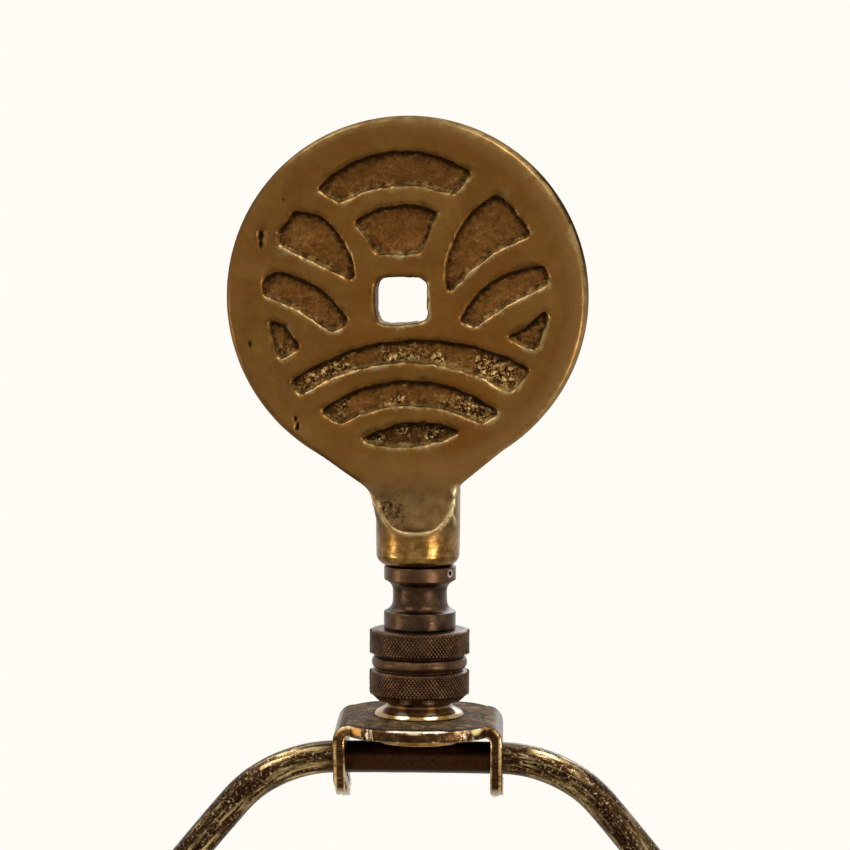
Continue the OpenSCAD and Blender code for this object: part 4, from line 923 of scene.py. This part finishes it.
for name, values in (("hollow", hollow), ("reach", reach / DISC_R), ("pitted", pitted),
                     ("cramped", cramped)):
    kept = finial.data.attributes.new(name, "FLOAT", "POINT")
    kept.data.foreach_set("value", values.astype(np.float32))

cast_brass, tree, shader, place = new_finish("aged_cast_brass", Metallic=1.0)
hollow_at = put(tree, "ShaderNodeAttribute", {}, "Fac", attribute_name="hollow")
reach_at = put(tree, "ShaderNodeAttribute", {}, "Fac", attribute_name="reach")
crest = put(tree, "ShaderNodeAttribute", {}, "Fac", attribute_name="crest")
level = put(tree, "ShaderNodeSeparateXYZ", {0: place}, 2)
patina = cloud(tree, place, 95, 6, 0.6, 0.5)
mottle = cloud(tree, place, 700, 4, 0.65)
grain = cloud(tree, place, 2600, 3, 0.7)
dirt = cloud(tree, place, 420, 5, 0.7, 0.5)
blush = cloud(tree, place, 45, 3, 0.5, 0.6)
facing = put(tree, "ShaderNodeTexCoord", {}, "Normal")
facing_up = put(tree, "ShaderNodeSeparateXYZ", {0: facing}, 2)
facing_right = put(tree, "ShaderNodeSeparateXYZ", {0: facing}, 0)
to_right = put(tree, "ShaderNodeSeparateXYZ", {0: place}, 0)
face_tone = shades(tree, joined(tree, "ADD", joined(tree, "MULTIPLY", patina, 0.75),
                                joined(tree, "MULTIPLY", mottle, 0.25)),
                   (0.3, "#583a18"), (0.45, "#66451d"), (0.58, "#704f25"), (0.74, "#7f6030"))
face_tone = over(tree, between(tree, level, 0.6800, 0.6880, 0, 0.5), face_tone, "#573512")
face_tone = over(tree, between(tree, blush, 0.48, 0.62, 0, 0.5), face_tone, "#6a4016")
# Painted highlight: a paler band just inside the rim, strongest on the right.
face_tone = over(tree, joined(tree, "MULTIPLY", between(tree, reach_at, 0.88, 0.95, 0, 0.6),
                              between(tree, to_right, -0.010, 0.008, 0.35, 1)),
                 face_tone, "#7d5c34")
# The recess floors are a little darker than the raised face, and darker and more mottled by the walls:
# partly the mould's grain and dirt, partly painted shade.
by_wall = between(tree, hollow_at, 0.97, 0.8)
floor_tone = over(tree, by_wall,
                  shades(tree, joined(tree, "ADD", joined(tree, "MULTIPLY", dirt, 0.6),
                                      joined(tree, "MULTIPLY", grain, 0.4)),
                         (0.38, "#492f13"), (0.5, "#64421e"), (0.62, "#745026")),
                  shades(tree, joined(tree, "ADD", joined(tree, "MULTIPLY", grain, 0.5),
                                      joined(tree, "MULTIPLY", dirt, 0.5)),
                         (0.38, "#1f1407"), (0.46, "#3f2911"), (0.54, "#5c3d19"),
                         (0.64, "#94703a")))
floor_tone = over(tree, between(tree, level, 0.6700, 0.6780, 0, 0.3), floor_tone, "#3b240e")
floor_tone = over(tree, between(tree, level, 0.6452, 0.6440, 0, 0.6), floor_tone, "#2c1b0b")
deep = between(tree, hollow_at, 0.2, 0.75)
tone = over(tree, deep, face_tone, floor_tone)
# Dark and bright flecks in the floors: on the lower fans the bright ones are painted glints of the sand
# grain; by the walls the dark ones are partly dirt and partly painted shade.
lower_fans = between(tree, level, 0.6580, 0.6540)
blots = cloud(tree, place, 190, 3, 0.6)
gathered = between(tree, joined(tree, "ADD", blots, joined(
    tree, "ADD", between(tree, to_right, -0.001, 0.009, 0, 0.09),
    between(tree, level, 0.6520, 0.6440, 0, 0.02))), 0.46, 0.56)
sparkling = joined(tree, "MULTIPLY", gathered, lower_fans)
near_wall = joined(tree, "MULTIPLY", between(tree, blots, 0.40, 0.50, 0.25, 1), between(tree, put(
    tree, "ShaderNodeAttribute", {}, "Fac", attribute_name="cramped"), 0.05, 0.24, 0, 0.95))
crust_shade_and_glints = joined(tree, "MULTIPLY", deep, joined(tree, "MAXIMUM", sparkling, near_wall))
flecks = cloud(tree, place, 1650, 4, 0.8)
tone = over(tree, joined(tree, "MULTIPLY", between(tree, flecks, 0.51, 0.455, 0, 0.95), crust_shade_and_glints),
            tone, "#1a1007")
tone = over(tree, joined(tree, "MULTIPLY", between(tree, flecks, 0.52, 0.59), crust_shade_and_glints), tone,
            over(tree, sparkling, "#86663a",
                 shades(tree, grain, (0.42, "#8b6a3a"), (0.6, "#e2c68a"))))
# Dust and painted light: surfaces in the hollows that face up are paler.
dust_and_top_light = joined(tree, "MULTIPLY", between(tree, facing_up, 0.25, 0.6),
              joined(tree, "MULTIPLY", between(tree, hollow_at, 0.1, 0.4), 0.75))
tone = over(tree, dust_and_top_light, tone, shades(tree, dirt, (0.4, "#5f4827"), (0.52, "#86693c"),
                                     (0.64, "#b1935e")))
# Painted shade: surfaces in the hollows that face down are darker.
under = joined(tree, "MULTIPLY", between(tree, facing_up, -0.12, -0.5),
               joined(tree, "MULTIPLY", between(tree, hollow_at, 0.1, 0.4), 0.8))
tone = over(tree, under, tone, "#2b1a0a")
boss_tone = shades(tree, mottle, (0.3, "#55391a"), (0.48, "#6d4e26"), (0.7, "#927543"))
low_part = between(tree, joined(tree, "ADD", level, joined(tree, "MULTIPLY", mottle, 0.002)),
                   0.6296, 0.6282)
tone = over(tree, low_part, tone, boss_tone)
neck_part = joined(tree, "MULTIPLY", between(tree, level, 0.6375, 0.6335),
                   between(tree, level, 0.6275, 0.6292))
tone = over(tree, joined(tree, "MULTIPLY", neck_part, 0.75), tone,
            shades(tree, mottle, (0.35, "#4c3a22"), (0.65, "#695336")))
cluster = between(tree, put(tree, "ShaderNodeVectorMath", {
    0: stretched(tree, place, (1, 0, 1)), 1: (-0.0040, 0, 0.6316)}, "Value",
    operation="DISTANCE"), 0.0034, 0.0008, -0.06, 0.14)
web_soot = joined(tree, "MULTIPLY", neck_part, between(tree, joined(
    tree, "ADD", cloud(tree, place, 1500, 4, 0.75), cluster), 0.6, 0.64))
tone = over(tree, joined(tree, "MULTIPLY", web_soot, 0.75), tone, "#241a10")
wall = joined(tree, "MULTIPLY", between(tree, reach_at, 0.985, 0.998),
              between(tree, level, 0.6400, 0.6440))
tone = over(tree, wall, tone, over(tree, between(tree, level, 0.658, 0.670), "#7b6649", "#2e2110"))
# Edges: rubbed brass with painted light. Edges facing up or left are pale and the others dark, and the
# rim's edge is pale except on the left.
worn_and_lit_edge = joined(tree, "ADD", crest, joined(tree, "MULTIPLY", dirt, 0.8))
on_rim = between(tree, reach_at, 0.93, 0.95)
left_rim = joined(tree, "MULTIPLY", on_rim, between(tree, to_right, 0.010, 0.0))
worn = between(tree, worn_and_lit_edge, 0.97, 1.12, 0, 0.85)
lit_side = between(tree, joined(tree, "SUBTRACT", facing_up, joined(
    tree, "MULTIPLY", facing_right, 0.8)), -0.02, 0.22)
tone = over(tree, joined(tree, "MULTIPLY", worn, joined(tree, "SUBTRACT", 1.0, left_rim)), tone,
            over(tree, on_rim, over(tree, lit_side, "#4b3418", "#8c7751"), "#8a7247"))
top_rim = joined(tree, "MULTIPLY", between(tree, reach_at, 0.945, 0.985),
                 between(tree, level, 0.6800, 0.6850))
tone = over(tree, joined(tree, "MULTIPLY", top_rim, between(tree, dirt, 0.38, 0.58, 0.2, 0.7)),
            tone, "#92794d")
# Painted shade: the rim's outer edge is dark on the left.
tone = over(tree, joined(tree, "MULTIPLY", between(tree, crest, 0.58, 0.75, 0, 0.85), left_rim),
            tone, "#2e200f")
# Painted highlights: pale lines along the scallop's edges, strongest on the right.
web_edge = joined(tree, "MULTIPLY", between(tree, level, 0.6360, 0.6345),
                  between(tree, level, 0.6268, 0.6276))
edge_reach = joined(tree, "ADD", between(tree, to_right, 0.002, 0.0055, 0, 0.09),
                    between(tree, to_right, -0.0040, -0.0060, 0, 0.07))
scallop_edge_highlight = joined(tree, "MULTIPLY", between(tree, joined(tree, "ADD", crest, edge_reach), 0.57, 0.72),
                   between(tree, to_right, -0.005, 0.0035, 0.45, 1))
tone = over(tree, joined(tree, "MULTIPLY", scallop_edge_highlight, joined(
    tree, "MULTIPLY", web_edge, between(tree, dirt, 0.38, 0.56, 0.2, 1))), tone, "#d3ba88")
tone = over(tree, between(tree, crest, 0.44, 0.26, 0, 0.7), tone, "#1d1309")
pit_at = put(tree, "ShaderNodeAttribute", {}, "Fac", attribute_name="pitted")
tone = over(tree, between(tree, pit_at, 0.25, 0.6, 0, 0.9), tone, "#120a04")
lead(tree, tone, shader, "Base Color")
lead(tree, joined(tree, "SUBTRACT", 1.0, wall), shader, "Metallic")
lead(tree, between(tree, wall, 0, 1, 0.5, 0), shader, "Specular IOR Level")
lead(tree, joined(tree, "SUBTRACT", joined(tree, "MAXIMUM", between(tree, deep, 0, 1, 0.36, 0.58),
                                           between(tree, wall, 0, 1, 0.3, 0.75)),
                  joined(tree, "MULTIPLY", low_part, 0.12)), shader, "Roughness")
relief(tree, shader, mottle, 0.00004)
relief(tree, shader, joined(tree, "MULTIPLY", grain, deep), 0.0002)
fit(finial, cast_brass, "finial", "finial_brass", "finial")


# ---- Floor, light and camera -------------------------------------------------------------
# The lamp stands on a plain pale floor in soft studio light, seen from the photograph's
# place: level with its top, slightly above, with a long lens.

floor_finish, tree, shader, place = new_finish("pale_studio_floor", Roughness=0.8)
lead(tree, shades(tree, cloud(tree, place, 30, 3), (0.3, "#ded9cf"), (0.7, "#e3dfd6")), shader,
     "Base Color")
shape = bmesh.new()
bmesh.ops.create_circle(shape, cap_ends=True, radius=2.4, segments=96)
studio_floor = finished("studio_floor", shape)
studio_floor.data.materials.append(floor_finish)

world = bpy.data.worlds.new("pale_studio")
bpy.context.scene.world = world
world.use_nodes = True
tree = world.node_tree
tree.nodes.clear()
path = tree.nodes.new("ShaderNodeLightPath").outputs
seen = joined(tree, "MAXIMUM", joined(tree, "MAXIMUM", path["Is Camera Ray"], path["Is Glossy Ray"]),
              path["Is Transmission Ray"])
shown = put(tree, "ShaderNodeBackground", {"Color": colour("#fffcf5"), "Strength": 1.0})
lit = put(tree, "ShaderNodeBackground", {"Color": colour("#fff8ee"), "Strength": 0.55})
result = put(tree, "ShaderNodeMixShader", {0: seen, 1: lit, 2: shown})
tree.links.new(result, tree.nodes.new("ShaderNodeOutputWorld").inputs["Surface"])


def soft_lamp(name, place, aim, size, power, tint):
    """A soft box, its width and height given, that points at a spot on the lamp."""
    lamp = bpy.data.lights.new(name, "AREA")
    lamp.shape = "RECTANGLE"
    lamp.size, lamp.size_y = size
    lamp.energy = power
    lamp.color = colour(tint)[:3]
    box = bpy.data.objects.new(name, lamp)
    box.location = place
    box.rotation_euler = (Vector(aim) - Vector(place)).to_track_quat("-Z", "Y").to_euler()
    bpy.context.scene.collection.objects.link(box)


soft_lamp("left_light", (-1.25, -0.4, 0.34), (0, 0, 0.6), (0.32, 0.16), 3.0, "#fff6ea")
soft_lamp("right_light", (0.87, -0.97, 0.34), (0, 0, 0.6), (0.34, 0.16), 5.0, "#fff9f2")
soft_lamp("high_left_light", (-0.75, -0.55, 1.7), (0, 0, 0.5), (0.4, 0.4), 6, "#fffaf4")
soft_lamp("high_right_light", (0.60, -0.75, 1.7), (0, 0, 0.5), (0.4, 0.4), 8, "#fffaf4")
soft_lamp("over_left_light", (-0.60, 0.36, 1.62), (0, 0, 0.6), (0.26, 0.26), 4.0, "#fffaf4")
soft_lamp("over_right_light", (0.46, 0.24, 1.68), (0, 0, 0.6), (0.26, 0.26), 4.5, "#fffaf4")
soft_lamp("back_light", (0.4, 1.3, 1.3), (0, 0, 0.4), (0.8, 0.8), 6, "#f6f8ff")

shaded = bpy.data.collections.new("not_lit_by_low_lamps")
shaded.objects.link(studio_floor)
shaded.collection_objects[0].light_linking.link_state = "EXCLUDE"
for name in ("left_light", "right_light"):
    bpy.data.objects[name].light_linking.receiver_collection = shaded

AZIMUTH, ELEVATION, ROLL = math.radians(1.2465), math.radians(5.1205), math.radians(0.3695)
VIEW_DISTANCE, FOCAL_PIXELS, PICTURE_PIXELS = 0.66595, 4530.2, 850
right = Vector((math.cos(AZIMUTH), math.sin(AZIMUTH), 0))
ahead = Vector((-math.sin(AZIMUTH) * math.cos(ELEVATION), math.cos(AZIMUTH) * math.cos(ELEVATION),
                -math.sin(ELEVATION)))
up = right.cross(ahead)
aim = Vector((0, 0, 0.64406)) + right * 0.00059
view = bpy.data.cameras.new("view")
view.sensor_width = 36
view.lens = FOCAL_PIXELS * view.sensor_width / PICTURE_PIXELS
camera = bpy.data.objects.new("view", view)
tilted = Matrix((right * math.cos(ROLL) + up * math.sin(ROLL),
                 up * math.cos(ROLL) - right * math.sin(ROLL), -ahead)).transposed()
camera.matrix_world = Matrix.Translation(aim - ahead * VIEW_DISTANCE) @ tilted.to_4x4()
bpy.context.scene.collection.objects.link(camera)
bpy.context.scene.camera = camera
bpy.context.scene.view_settings.view_transform = "Standard"
